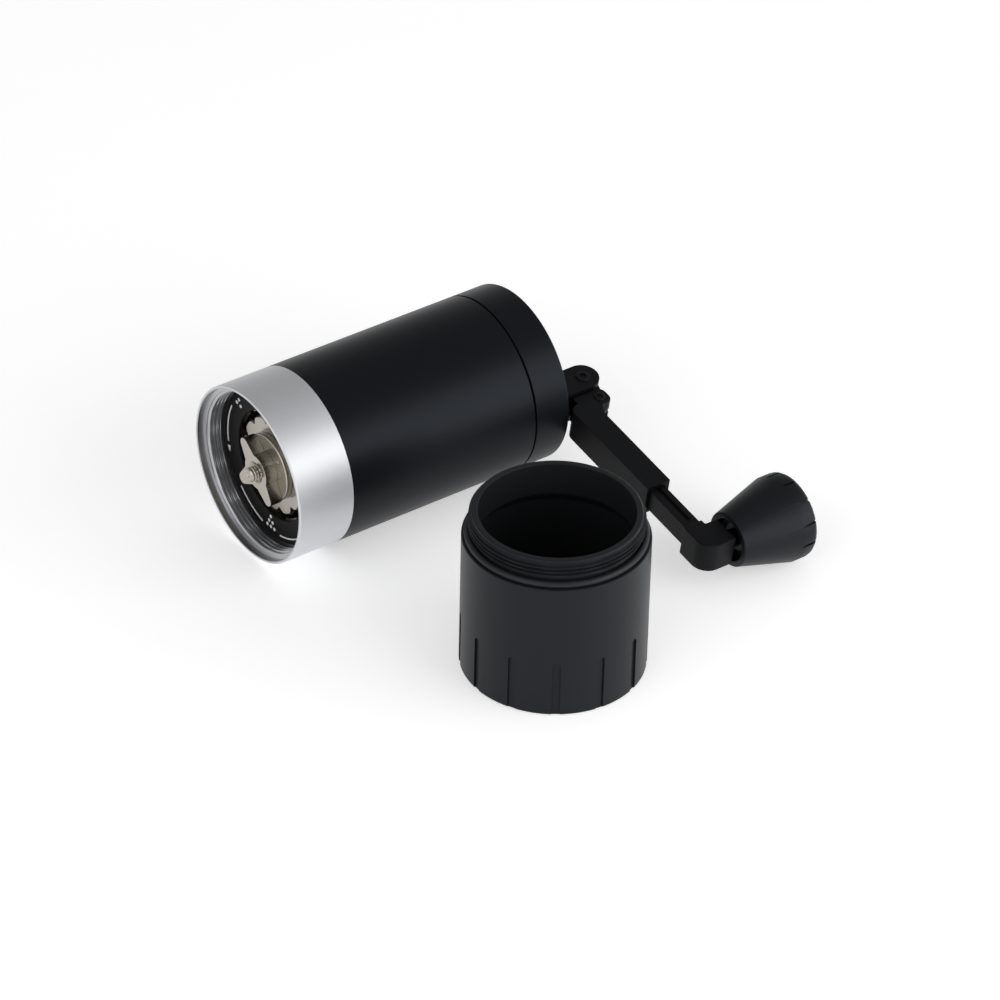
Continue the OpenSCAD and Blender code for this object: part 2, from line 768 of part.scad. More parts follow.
module knob_shell() color("#1d1e21") knob_frame()
    difference() {
        turned([[spindle_r + run + knob_bush_wall, knob_z + knob_mouth_depth],
            [knob_small_r - knob_mouth_wall, knob_z + knob_mouth_depth],
            [knob_small_r - knob_mouth_wall, knob_z], [knob_small_r, knob_z],
            [knob_r, knob_kink], [knob_r, knob_end - knob_round],
            [knob_r - knob_round * 0.3, knob_end - knob_round * 0.3],
            [knob_r - knob_round, knob_end], [knob_cap_r + push_fit, knob_end],
            [knob_cap_r + push_fit, knob_end - knob_cap_t],
            [knob_cap_r - cap_ledge, knob_end - knob_cap_t],
            [knob_cap_r - cap_ledge, spindle_end],
            [spindle_r + run + knob_bush_wall, spindle_end]]);
        for (i = [0 : knob_grooves - 1])
            rotate([0, 0, (i + 0.5) * 360 / knob_grooves])
                translate([knob_r - knob_groove_depth, -knob_groove_w / 2, knob_kink])
                    cube([2 * knob_groove_depth, knob_groove_w, knob_band + cut]);
    }

module knob_bush() color("#c9c5b8") knob_frame()
    ring(spindle_r + run + knob_bush_wall, spindle_r + run, knob_z + knob_mouth_depth - 1,
        spindle_end);

module knob_cap() color("#242528") knob_frame()
    translate([0, 0, knob_end - knob_cap_t])
        cylinder(r = knob_cap_r, h = knob_cap_t - 0.1);

module knob_screw() color("#8d8f92") knob_frame()
    translate([0, 0, spindle_end + 0.1])
        difference() {
            cylinder(r = spindle_r + screw_head_rim, h = screw_head_t);
            translate([0, 0, screw_head_t - drive_hole_depth])
                cylinder(r = drive_hole_r * 1.6, h = screw_head_t, $fn = 6);
        }

module cup_shell() color("#26282b")
    difference() {
        turned(concat(
            [[0, 0], [cup_r - cup_chamfer, 0], [cup_r, cup_chamfer], [cup_r, cup_h],
            [neck_r, cup_h], [neck_r, cup_thread_start]],
            thread_points(neck_r, neck_r + thread_depth, cup_thread_start, thread_pitch,
                thread_turns),
            [[neck_r, cup_top - rim_round], [neck_r - rim_round, cup_top],
            [cup_mouth_r, cup_top], [cup_mouth_r, cup_h - cup_wall],
            [cup_inner_r, cup_h - cup_wall - cup_taper], [cup_inner_r, cup_floor + cup_taper],
            [cup_inner_r - cup_taper, cup_floor], [0, cup_floor]]));
        for (i = [0 : grip_n - 1])
            rotate([0, 0, (i + 0.5) * 360 / grip_n])
                translate([cup_r - grip_depth, -grip_w / 2, -cut])
                    cube([2 * grip_depth, grip_w, grip_h + cut]);
    }

module cup_seal() color("#2f3135")
    translate([0, 0, cup_h + seal_d / 2])
        rotate_extrude()
            translate([neck_r + seal_d / 2, 0])
                circle(r = seal_d / 2, $fn = 32);

body_tube();
collar_ring();
dial_plate();
dial_marks();
burr_carrier();
outer_burr();
upper_bridge();
upper_bearing_outer();
upper_bearing_balls();
lower_bearing_outer();
lower_bearing_balls();
drive_shaft();
upper_bearing_inner();
lower_bearing_inner();
shaft_clip();
burr_spring();
inner_burr();
click_disc();
adjusting_nut();
lid_shell();
lid_bush();
lid_seal();
crank_hub();
hub_clip();
fold_pin();
crank_sleeve();
detent_leaf();
clamp_screw();
slider_bar();
elbow_block();
knob_spindle();
knob_shell();
knob_bush();
knob_cap();
knob_screw();
cup_shell();
cup_seal();
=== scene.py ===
"""Dresses the hand crank coffee grinder: every piece that shows is modelled and finished."""

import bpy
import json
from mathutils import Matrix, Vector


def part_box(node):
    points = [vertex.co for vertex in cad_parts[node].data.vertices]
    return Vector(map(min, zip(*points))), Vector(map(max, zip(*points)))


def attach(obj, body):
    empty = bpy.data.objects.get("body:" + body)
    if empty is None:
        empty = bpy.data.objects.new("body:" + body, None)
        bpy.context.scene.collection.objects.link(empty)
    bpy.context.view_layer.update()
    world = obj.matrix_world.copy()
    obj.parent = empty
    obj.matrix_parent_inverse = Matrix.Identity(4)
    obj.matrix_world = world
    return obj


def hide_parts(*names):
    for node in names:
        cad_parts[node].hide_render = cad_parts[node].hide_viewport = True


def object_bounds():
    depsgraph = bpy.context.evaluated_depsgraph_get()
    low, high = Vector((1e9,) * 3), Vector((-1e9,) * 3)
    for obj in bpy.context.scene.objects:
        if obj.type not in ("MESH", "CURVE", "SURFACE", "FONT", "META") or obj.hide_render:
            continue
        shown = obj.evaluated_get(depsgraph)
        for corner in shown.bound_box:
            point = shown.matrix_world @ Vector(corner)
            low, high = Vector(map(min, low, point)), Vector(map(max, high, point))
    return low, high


bl_info = {
    "name": "Hand Crank Coffee Grinder",
    "version": (1, 0, 0),
    "blender": (4, 5, 0),
    "location": "View3D > Sidebar > Grinder",
    "description": "Models and finishes the pieces of a folding hand coffee grinder",
    "category": "Add Mesh",
}

import json
import math

import bpy
from mathutils import Matrix, Vector

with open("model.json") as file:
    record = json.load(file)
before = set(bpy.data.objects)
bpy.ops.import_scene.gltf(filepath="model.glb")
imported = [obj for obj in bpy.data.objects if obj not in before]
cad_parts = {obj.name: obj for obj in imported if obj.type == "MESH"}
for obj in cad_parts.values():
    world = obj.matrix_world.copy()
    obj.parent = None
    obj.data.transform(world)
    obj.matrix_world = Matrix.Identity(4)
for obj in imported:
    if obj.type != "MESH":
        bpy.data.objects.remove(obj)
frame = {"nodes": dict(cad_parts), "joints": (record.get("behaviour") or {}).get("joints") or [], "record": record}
CAD_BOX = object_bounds()
JOINTS = {joint["name"]: joint for joint in frame["joints"]}

MM = 0.001
FULL_TURN = 2 * math.pi
WELD = MM / 1000

# The body's axis, from the lip of the burr end towards the lid.
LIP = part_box("collar_ring")[0].x
BODY_AXIS = Vector(JOINTS["crank_spin"]["pos_m"])
BODY_PLACE = Matrix.Translation((LIP, BODY_AXIS.y, BODY_AXIS.z)) @ Matrix.Rotation(
    math.pi / 2, 4, "Y"
)

# The crank's plane: X runs along the arm and Z along the body's axis.
FOLD_AXIS = Vector(JOINTS["arm_fold"]["axis"])
DROOP = math.atan2(-FOLD_AXIS.y, FOLD_AXIS.z)
CRANK_PLACE = (
    Matrix.Translation((LIP, BODY_AXIS.y, BODY_AXIS.z))
    @ Matrix.Rotation(DROOP - math.pi / 2, 4, "X")
    @ Matrix.Rotation(math.pi / 2, 4, "Y")
)
CUP_PLACE = Matrix.Identity(4)

# Sizes that several pieces share: the shaft's thread, the play in a close fit, the spacing
# of the points that a thread is wound on, and its flank and crest as shares of the pitch.
SCREW_RADIUS = 2.6 * MM
RUNNING_FIT = 0.05 * MM
ROW_SPACING = 0.1 * MM
FLANK, CREST = 0.22, 0.1

# Draws a grain out into rings round the body's axis, as a lathe tool leaves them.
TURNED = (1, 0.01, 0.01)


def reach(joint):
    """How far a joint of the crank lies from the body's axis."""
    place = Vector(JOINTS[joint]["pos_m"]) - BODY_AXIS
    return math.hypot(place.y, place.z)


def span(node):
    """Where a CAD node starts and ends along the body's axis, from the lip."""
    low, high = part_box(node)
    return low.x - LIP, high.x - LIP


def radius_of(node):
    """Outer radius of a CAD node that is round about the body's axis or the cup's."""
    low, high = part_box(node)
    return (high.y - low.y) / 2


# Where the fold pin and the knob's axis stand in the crank's plane.
PIN_REACH, KNOB_REACH = reach("arm_fold"), reach("knob_spin")
PIN_HEIGHT = JOINTS["arm_fold"]["pos_m"][0] - LIP
PIN_RADIUS = 1.6 * MM
KNOB_PLACE = CRANK_PLACE @ Matrix.Translation((KNOB_REACH, 0, 0))


def length(name, text, size):
    """A size property in metres, shown in the sidebar as a distance."""
    return bpy.props.FloatProperty(
        name=name, description=text, default=size, min=0, precision=5, unit="LENGTH"
    )


def colour(name, text, code):
    """A colour property from an sRGB hex code."""
    return bpy.props.FloatVectorProperty(
        name=name, description=text, default=linear(code), min=0, max=1, size=3, subtype="COLOR"
    )


def linear(code):
    """Linear colour of an sRGB hex code such as #26282b."""
    shares = [int(code[place : place + 2], 16) / 255 for place in (1, 3, 5)]
    return [s / 12.92 if s <= 0.04045 else ((s + 0.055) / 1.055) ** 2.4 for s in shares]


class GrinderBodySizes(bpy.types.PropertyGroup):
    """Sizes of the pieces round the body's axis."""

    tube_wall: length("Tube wall", "Wall of the black tube", 2.5 * MM)
    lip_wall: length("Lip wall", "Wall of the collar's lip", 1 * MM)
    lip_round: length("Lip rounding", "Rounding of the collar's lip", 0.45 * MM)
    seam_round: length("Seam rounding", "Rounding beside each seam of the body", 0.22 * MM)
    lid_round: length("Lid rounding", "Rounding of the lid's top edge", 0.8 * MM)
    lid_top: length("Lid top", "Thickness of the lid's top", 3.2 * MM)
    lid_spigot: length("Lid spigot", "Length of the lid's spigot in the tube", 6 * MM)
    seal_depth: length("Seal depth", "Depth of the smooth bore that the seal enters", 2.4 * MM)
    thread_pitch: length("Thread pitch", "Pitch of the cup's thread", 1.4 * MM)
    thread_depth: length("Thread depth", "Depth of the cup's thread", 0.9 * MM)
    screw_pitch: length("Screw pitch", "Pitch of the shaft's threaded tip", 1 * MM)
    nut_hub: length("Nut hub", "Radius of the nut's hub", 6 * MM)
    wing_root: length("Wing root", "Half the width of a wing at the nut's axis", 4.2 * MM)
    wing_tip: length("Wing tip", "Half the width of a wing at its tip", 2 * MM)
    nut_flare: length("Nut flare", "Countersink round the nut's thread", 1.1 * MM)


class GrinderCrankSizes(bpy.types.PropertyGroup):
    """Sizes of the crank and its knob."""

    ear_width: length("Ear width", "Width of the yoke's ears", 11 * MM)
    ear_thickness: length("Ear thickness", "Thickness of each ear", 2.4 * MM)
    tongue_thickness: length("Tongue", "Thickness of the tongue in the yoke", 6.8 * MM)
    slot: length("Knuckle slot", "Width of the slot across the knuckle", 2 * MM)
    sleeve_wall: length("Sleeve wall", "Wall of the sleeve beside the bar", 1.2 * MM)
    bar_groove: length("Bar groove", "Width of the groove along the bar", 1.4 * MM)
    edge: length("Edge break", "Bevel of the crank's machined edges", 0.35 * MM)
    elbow_round: length("Elbow corner", "Rounding of the elbow's outer corner", 6 * MM)
    knob_round: length("Knob rounding", "Rounding of the knob's end", 2.4 * MM)
    knob_groove: length("Knob groove", "Width of the grooves round the knob", 0.9 * MM)


class GrinderCupSizes(bpy.types.PropertyGroup):
    """Sizes of the receiver cup."""

    wall: length("Cup wall", "Wall of the cup's side", 2.4 * MM)
    neck_wall: length("Neck wall", "Wall of the cup's neck", 2.1 * MM)
    floor: length("Cup floor", "Thickness of the cup's floor", 3 * MM)
    grip_width: length("Grip width", "Width of the grip grooves", 2.6 * MM)
    grip_depth: length("Grip depth", "Depth of the grip grooves", 0.7 * MM)
    grip_height: length("Grip height", "Height of the grip grooves", 20 * MM)
    grip_count: bpy.props.IntProperty(
        name="Grip grooves", description="Number of grip grooves", default=13, min=3, max=30
    )


class GrinderColours(bpy.types.PropertyGroup):
    """Colours of the finishes."""

    anodised: colour("Anodised black", "Black anodised tube and lid", "#0d0e11")
    aluminium: colour("Aluminium", "Bare collar", "#dcdde0")
    dial: colour("Dial", "Dial plate round the burrs", "#0c0c0e")
    ink: colour("Ink", "Printed marks on the dial", "#e9e9e5")
    steel: colour("Burr steel", "Burrs, nut and shaft", "#b3aea4")
    crank: colour("Crank", "Coating of the crank", "#0b0b0d")
    knob: colour("Knob", "Moulded knob", "#0e0f12")
    cup: colour("Cup", "Anodised cup", "#1e1f21")
    seal: colour("Seal", "Silicone seals", "#1c1d20")
    floor: colour("Floor", "Floor and backdrop", "#f4f4f4")


# ---- Modelling ----


def trace(name, points):
    """Extrudes one vertex from point to point into a chain of edges."""
    bpy.ops.object.select_all(action="DESELECT")
    bpy.ops.mesh.primitive_plane_add(size=MM)
    piece = bpy.context.object
    piece.name = name
    piece.data.name = name
    bpy.ops.object.mode_set(mode="EDIT")
    bpy.ops.mesh.select_mode(type="VERT")
    bpy.ops.mesh.select_all(action="SELECT")
    bpy.ops.mesh.merge(type="CENTER")
    bpy.ops.transform.translate(value=points[0])
    for here, there in zip(points, points[1:]):
        step = Vector(there) - Vector(here)
        bpy.ops.mesh.extrude_vertices_move(TRANSFORM_OT_translate={"value": step})
    bpy.ops.mesh.select_all(action="SELECT")
    return piece


def close_up():
    """Welds what is being edited, turns its faces outwards and leaves edit mode."""
    bpy.ops.mesh.select_all(action="SELECT")
    bpy.ops.mesh.remove_doubles(threshold=WELD)
    bpy.ops.mesh.normals_make_consistent(inside=False)
    bpy.ops.object.mode_set(mode="OBJECT")


def turned(name, profile, steps=192):
    """A piece turned about Z from a profile of (radius, height) points."""
    piece = trace(name, [(radius, 0, height) for radius, height in profile])
    bpy.ops.mesh.spin(steps=steps, angle=FULL_TURN, center=(0, 0, 0), axis=(0, 0, 1))
    close_up()
    return piece


def turned_ring(name, corners, steps=192):
    """A turned piece with a closed profile of (radius, height, rounding) corners."""
    profile = softened(corners)
    return turned(name, profile + profile[:1], steps)


def slab(name, outline, low, high, across="Z"):
    """A plate: a closed outline, filled, and extruded from low to high across it."""
    if across == "Z":
        points = [(u, v, low) for u, v in outline]
        thickness = Vector((0, 0, high - low))
    else:
        points = [(u, low, v) for u, v in outline]
        thickness = Vector((0, high - low, 0))
    piece = trace(name, points + points[:1])
    bpy.ops.mesh.remove_doubles(threshold=WELD)
    bpy.ops.mesh.edge_face_add()
    bpy.ops.mesh.extrude_region_move(TRANSFORM_OT_translate={"value": thickness})
    close_up()
    return piece


def block(name, low, high):
    """A plain block between two corners, for cutting."""
    outline = [(low[0], low[1]), (high[0], low[1]), (high[0], high[1]), (low[0], high[1])]
    return slab(name, outline, low[2], high[2])


def drill(name, radius, low, high, steps=192):
    """A straight cutter about Z: round, or six-sided for a hexagon."""
    return turned(name, [(0, low), (radius, low), (radius, high), (0, high)], steps)


def softened(corners, steps=4):
    """Outline whose corners, given as (u, v, rounding), are turned into arcs."""
    outline = []
    for place, (u, v, rounding) in enumerate(corners):
        here = Vector((u, v))
        if rounding == 0:
            outline.append((u, v))
            continue
        before = (Vector(corners[place - 1][:2]) - here).normalized()
        after = (Vector(corners[(place + 1) % len(corners)][:2]) - here).normalized()
        half = before.angle(after) / 2
        middle = here + (before + after).normalized() * rounding / math.sin(half)
        first = here + before * rounding / math.tan(half) - middle
        last = here + after * rounding / math.tan(half) - middle
        sweep = math.atan2(first.x * last.y - first.y * last.x, first.dot(last))
        for step in range(steps + 1):
            arm = Matrix.Rotation(sweep * step / steps, 2) @ first
            outline.append((middle.x + arm.x, middle.y + arm.y))
    return outline


def arc(centre, radius, start, end, steps=12):
    """Points of an arc between two angles in degrees."""
    angles = [math.radians(start + (end - start) * step / steps) for step in range(steps + 1)]
    return [
        (centre[0] + radius * math.cos(angle), centre[1] + radius * math.sin(angle))
        for angle in angles
    ]


def rows(radius, start, end, spacing=ROW_SPACING):
    """Closely spaced points up a cylinder, for a thread to be wound on."""
    count = round((end - start) / spacing)
    return [(radius, start + (end - start) * step / count) for step in range(count + 1)]


def wind_thread(piece, root, crest, start, end, pitch):
    """Winds one ridge round the rows of a turned surface between two heights."""
    for vertex in piece.data.vertices:
        x, y, z = vertex.co
        radius = math.hypot(x, y)
        if abs(radius - root) > WELD or not start < z < end:
            continue
        share = ((z - start) / pitch - math.atan2(y, x) / FULL_TURN) % 1
        ridge = min(1, share / FLANK, max(0, (2 * FLANK + CREST - share) / FLANK))
        ridge = ridge * ridge * (3 - 2 * ridge)
        fade = min(1, 2 * (z - start) / pitch, 2 * (end - z) / pitch)
        scale = (root + (crest - root) * ridge * fade) / radius
        vertex.co.x *= scale
        vertex.co.y *= scale


def select_only(piece):
    """Makes one piece the only selected and active one."""
    bpy.ops.object.select_all(action="DESELECT")
    piece.select_set(True)
    bpy.context.view_layer.objects.active = piece


def shape_with(piece, kind, **settings):
    """Adds a modifier with its settings to a piece and applies it."""
    select_only(piece)
    bpy.ops.object.modifier_add(type=kind)
    modifier = piece.modifiers[-1]
    for name, value in settings.items():
        setattr(modifier, name, value)
    bpy.ops.object.modifier_apply(modifier=modifier.name)


def settle(piece, place):
    """Moves a piece and puts its new place into its mesh."""
    select_only(piece)
    piece.matrix_world = place @ piece.matrix_world
    bpy.ops.object.transform_apply(location=True, rotation=True, scale=True)


def combine(piece, tool, operation="DIFFERENCE"):
    """Cuts a tool out of a piece, or joins it on, and removes the tool."""
    shape_with(piece, "BOOLEAN", operation=operation, solver="EXACT", object=tool)
    bpy.data.objects.remove(tool)


def repeat(piece, count):
    """Copies a cutter round Z and joins the copies into one object."""
    copies = [piece]
    for step in range(1, count):
        copy = piece.copy()
        copy.data = piece.data.copy()
        bpy.context.collection.objects.link(copy)
        turn = Matrix.Rotation(FULL_TURN * step / count, 4, "Z")
        copy.matrix_world = turn @ piece.matrix_world
        copies.append(copy)
    select_only(piece)
    for copy in copies:
        copy.select_set(True)
    bpy.ops.object.join()
    return piece


def break_edges(piece, width, angle=40, segments=2):
    """Bevels the edges of a piece that are sharper than an angle in degrees."""
    shape_with(
        piece,
        "BEVEL",
        width=width,
        segments=segments,
        limit_method="ANGLE",
        angle_limit=math.radians(angle),
        miter_outer="MITER_ARC",
    )


# ---- Materials ----

# A grain's values lie mostly between these two, and are drawn out from there.
GRAIN_LOW, GRAIN_HIGH = 0.3, 0.7
BUMP_STRENGTH = 0.5


def feed(tree, node, inputs):
    """Sets a node's inputs, by name or number, or links them to other nodes' outputs."""
    for name, value in inputs.items():
        if isinstance(value, bpy.types.NodeSocket):
            tree.links.new(value, node.inputs[name])
        else:
            node.inputs[name].default_value = value


def add_node(tree, kind, settings=None, inputs=None):
    """Adds a node with its settings and links."""
    node = tree.nodes.new(kind)
    for name, value in (settings or {}).items():
        setattr(node, name, value)
    feed(tree, node, inputs or {})
    return node


def start_material(name, base, plain):
    """A material with one Principled shader, its base colour and its plain socket values."""
    material = bpy.data.materials.new(name)
    material.use_nodes = True
    material.diffuse_color = (*base, 1)
    shader = material.node_tree.nodes["Principled BSDF"]
    feed(material.node_tree, shader, {"Base Color": (*base, 1), **plain})
    return material, shader


# Real blasting, tool lines and moulded textures are a few times finer than the grains
# here, which are as coarse as they have to be to show.
def grain(tree, size, stretch=(1, 1, 1), detail=2):
    """Noise with grains of a size in metres, drawn out where stretch is under 1."""
    place = add_node(tree, "ShaderNodeTexCoord").outputs["Object"]
    laid = add_node(tree, "ShaderNodeMapping", inputs={"Vector": place, "Scale": stretch})
    noise = add_node(
        tree,
        "ShaderNodeTexNoise",
        inputs={"Vector": laid.outputs["Vector"], "Scale": 1 / size, "Detail": detail},
    )
    return noise.outputs["Fac"]


def driven_by(tree, pattern, base, rough, tones=None, depth=0):
    """Shader inputs that a pattern drives: roughness, shades of a colour and a raised grain."""
    level = add_node(
        tree,
        "ShaderNodeMapRange",
        inputs={
            "Value": pattern,
            "From Min": GRAIN_LOW,
            "From Max": GRAIN_HIGH,
            "To Min": rough[0],
            "To Max": rough[1],
        },
    )
    driven = {"Roughness": level.outputs["Result"]}
    if tones:
        shades = add_node(tree, "ShaderNodeValToRGB", inputs={"Fac": pattern})
        stops = shades.color_ramp.elements
        for stop, place, factor in zip(stops, (GRAIN_LOW, GRAIN_HIGH), tones):
            stop.position = place
            stop.color = (*(min(1, share * factor) for share in base), 1)
        driven["Base Color"] = shades.outputs["Color"]
    if depth:
        bump = add_node(
            tree,
            "ShaderNodeBump",
            inputs={"Height": pattern, "Distance": depth, "Strength": BUMP_STRENGTH},
        )
        driven["Normal"] = bump.outputs["Normal"]
    return driven


def grained_material(name, base, plain, size, *driven, stretch=(1, 1, 1), detail=2):
    """A material whose one grain drives its roughness and, if given, shades and depth."""
    material, shader = start_material(name, base, plain)
    tree = material.node_tree
    pattern = grain(tree, size, stretch, detail)
    feed(tree, shader, driven_by(tree, pattern, base, *driven))
    return material


def anodised_material(name, base):
    """Bead-blasted aluminium, anodised black: a fine matt grain and a broad cool sheen."""
    plain = {"Metallic": 0, "IOR": 1.5, "Specular IOR Level": 0.16}
    plain["Specular Tint"] = (0.76, 0.86, 1, 1)
    return grained_material(
        name, base, plain, 0.22 * MM, (0.34, 0.42), (0.9, 1.12), 0.006 * MM
    )


def inside_of(tree, radius):
    """One inside a radius round the body's axis and nought outside it."""
    place = add_node(tree, "ShaderNodeTexCoord").outputs["Object"]
    for operation, value in (("SUBTRACT", BODY_AXIS), ("MULTIPLY", (0, 1, 1))):
        settings, inputs = {"operation": operation}, {0: place, 1: value}
        place = add_node(tree, "ShaderNodeVectorMath", settings, inputs).outputs["Vector"]
    distance = add_node(tree, "ShaderNodeVectorMath", {"operation": "LENGTH"}, {0: place})
    inputs = {0: distance.outputs["Value"], 1: radius}
    return add_node(tree, "ShaderNodeMath", {"operation": "LESS_THAN"}, inputs).outputs["Value"]


def aluminium_material():
    """Aluminium blasted outside to a silky sheen, with shinier tool rings in its bore, whose colour is painted
    darker as shade inside the collar.
    """
    base = colours().aluminium
    material, shader = start_material("blasted_aluminium", base, {"Metallic": 1})
    tree = material.node_tree
    blasting = grain(tree, 0.25 * MM)
    rings = grain(tree, 0.12 * MM, TURNED)
    outside = driven_by(tree, blasting, base, (0.5, 0.6), (0.95, 1.03), 0.008 * MM)
    # Tones of 0.64 to 0.76 of the base paint the bore darker, as painted shade inside the collar; its lower
    # roughness there is real.
    inside = driven_by(tree, rings, base, (0.28, 0.38), (0.64, 0.76))
    bore = inside_of(tree, radius_of("collar_ring") - body_sizes().lip_wall / 2)
    # What a Mix node is told, and its numbered sockets, for a value and for a colour.
    mixes = {"Roughness": ("FLOAT", 2, 3, 0), "Base Color": ("RGBA", 6, 7, 2)}
    for name, (kind, first, second, out) in mixes.items():
        inputs = {0: bore, first: outside[name], second: inside[name]}
        mix = add_node(tree, "ShaderNodeMix", {"data_type": kind}, inputs)
        outside[name] = mix.outputs[out]
    feed(tree, shader, outside)
    return material


def dial_material():
    """Aluminium plate anodised matt black: even, with hardly any sheen."""
    plain = {"IOR": 1.5, "Specular IOR Level": 0.18}
    base = colours().dial
    return grained_material(
        "matt_black_anodised", base, plain, 0.2 * MM, (0.52, 0.62), None, 0.006 * MM
    )


def ink_material():
    """Screen-printed epoxy ink: flat, slightly broken white."""
    base = colours().ink
    return grained_material("printed_ink", base, {"IOR": 1.5}, 0.3 * MM, (0.45, 0.6), (0.92, 1))


def machined_steel_material(name, base, rough, line=0.15):
    """Machined stainless steel: fine tool lines and a warm, sharper reflection."""
    limits = (rough, rough + 0.08)
    driven = (limits, (0.95, 1.03), 0.0008 * MM)
    along = (0.15, 1, 1)
    return grained_material(
        name, base, {"Metallic": 1}, line * MM, *driven, stretch=along, detail=3
    )


def nylon_material(name, base, rough):
    """Moulded engineering plastic: a fine spark-eroded texture."""
    plain = {"IOR": 1.53, "Specular IOR Level": 0.24, "Specular Tint": (0.86, 0.92, 1, 1)}
    driven = ((rough, rough + 0.1), (0.92, 1.1), 0.012 * MM)
    return grained_material(name, base, plain, 0.3 * MM, *driven)


def coated_material(name, base):
    """Aluminium with a satin black coating: smooth with a faint orange peel."""
    plain = {"IOR": 1.5, "Specular IOR Level": 0.14, "Specular Tint": (0.88, 0.94, 1, 1)}
    driven = ((0.42, 0.5), (0.94, 1.08), 0.006 * MM)
    return grained_material(name, base, plain, 0.45 * MM, *driven)


def blackened_material():
    """Black oxide on steel: dark metal that still reflects."""
    base = linear("#2c2c2f")
    driven = ((0.3, 0.42), (0.85, 1.15))
    return grained_material("black_oxide_steel", base, {"Metallic": 1}, 0.2 * MM, *driven)


def bronze_material():
    """Turned bearing bronze: warm yellow metal with fine rings."""
    base = linear("#b08d4c")
    driven = ((0.28, 0.4), None, 0.004 * MM)
    return grained_material(
        "turned_bronze", base, {"Metallic": 1}, 0.12 * MM, *driven, stretch=TURNED
    )


def silicone_material():
    """Moulded black silicone: soft sheen and a slightly dusty skin."""
    plain = {"IOR": 1.41, "Specular IOR Level": 0.4}
    driven = ((0.38, 0.5), (0.9, 1.15))
    return grained_material("moulded_silicone", colours().seal, plain, 0.35 * MM, *driven)


def steel(name, code, rough, line):
    """A maker for a machined steel with a colour of its own."""
    return lambda: machined_steel_material(name, linear(code), rough, line)


def plastic(name, code, rough):
    """A maker for a moulded plastic with a colour of its own."""
    return lambda: nylon_material(name, linear(code), rough)


MATERIAL_MAKERS = {
    "black_anodised": lambda: anodised_material("black_anodised", colours().anodised),
    "bare_aluminium": aluminium_material,
    "dial_black": dial_material,
    "print_white": ink_material,
    "burr_steel": lambda: machined_steel_material("machined_steel", colours().steel, 0.2),
    "bearing_steel": steel("ground_steel", "#c8cacc", 0.16, 0.1),
    "carrier_black": plastic("glass_filled_nylon", "#242529", 0.5),
    "spring_steel": steel("drawn_wire", "#b9b6b0", 0.25, 0.2),
    "clip_steel": blackened_material,
    "bush_bronze": bronze_material,
    "crank_black": lambda: coated_material("satin_coating", colours().crank),
    "screw_black": blackened_material,
    "knob_black": lambda: nylon_material("moulded_nylon", colours().knob, 0.4),
    "bush_nylon": plastic("moulded_acetal", "#2e2f32", 0.4),
    "seal_black": silicone_material,
    "cup_black": lambda: anodised_material("blasted_black_anodised", colours().cup),
}
made_materials = {}


def finish_for(slot):
    """The material of one of the record's slots, made once."""
    if slot not in made_materials:
        made_materials[slot] = MATERIAL_MAKERS[slot]()
    return made_materials[slot]


def colours():
    """The colours as the sidebar holds them."""
    return bpy.context.scene.grinder_colours


def body_sizes():
    """The body's sizes as the sidebar holds them."""
    return bpy.context.scene.grinder_body


def crank_sizes():
    """The crank's sizes as the sidebar holds them."""
    return bpy.context.scene.grinder_crank


def cup_sizes():
    """The cup's sizes as the sidebar holds them."""
    return bpy.context.scene.grinder_cup


def body_of(node):
    """Name of the body that a CAD node belongs to."""
    groups = frame["record"]["behaviour"]["bodies"]
    return next(body for body, members in groups.items() if node in members)


def finish_piece(piece, place, slot, node, smooth=32):
    """Places a piece, shades it, gives it its slot's material, sets it on its CAD node's body and hides that node.
    """
    settle(piece, place)
    bpy.ops.object.shade_smooth_by_angle(angle=math.radians(smooth))
    shape_with(piece, "WEIGHTED_NORMAL", keep_sharp=True)
    piece.data.materials.clear()
    piece.data.materials.append(finish_for(slot))
    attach(piece, body_of(node))
    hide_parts(node)


def finish_nodes(slot, *nodes):
    """Gives CAD nodes whose shape is right their finish."""
    for node in nodes:
        for holder in frame["nodes"][node].material_slots:
            holder.material = finish_for(slot)


# ---- Pieces ----


class GRINDER_OT_tube(bpy.types.Operator):
    """Turn the black tube and the bare collar"""

    bl_idname = "grinder.tube"
    bl_label = "Tube and collar"

    def execute(self, context):
        sizes = body_sizes()
        outer = radius_of("body_tube")
        bottom, top = span("body_tube")
        bore = outer - sizes.tube_wall
        soft = sizes.seam_round
        corners = [(bore, bottom), (outer, bottom), (outer, top), (bore, top)]
        tube = turned_ring("tube_shell", [(*corner, soft) for corner in corners])
        finish_piece(tube, BODY_PLACE, "black_anodised", "body_tube")
        self.turn_collar(sizes, outer, bore, bottom)
        return {"FINISHED"}

    def turn_collar(self, sizes, outer, bore, seam):
        """The collar: lip, seal bore, thread, dial ledge and the spigot in the tube."""
        mouth = outer - sizes.lip_wall
        crest = radius_of("dial_plate") + 0.2 * MM
        root = crest + sizes.thread_depth
        start = sizes.seal_depth + 0.3 * MM
        dial, dial_back = span("dial_plate")
        spigot_end = span("collar_ring")[1]
        spigot_in = radius_of("burr_carrier") + RUNNING_FIT
        spigot_out = bore - RUNNING_FIT
        thread_end = dial - 0.5 * MM
        profile = softened([(outer, 0, 0), (mouth, 0, 0.15 * MM), (mouth, start, 0)])[1:-1]
        profile += [(mouth, sizes.seal_depth)]
        profile += rows(root, start, thread_end)
        profile += [(root, dial_back), (spigot_in, dial_back), (spigot_in, spigot_end)]
        profile += [(spigot_out, spigot_end), (spigot_out, seam)]
        outside = [
            (spigot_out, seam, 0),
            (outer, seam, sizes.seam_round),
            (outer, 0, sizes.lip_round),
            (mouth, 0, 0),
        ]
        profile += softened(outside)[1:-1]
        collar = turned("collar_shell", profile + profile[:1])
        wind_thread(collar, root, crest, start, thread_end, sizes.thread_pitch)
        finish_piece(collar, BODY_PLACE, "bare_aluminium", "collar_ring")


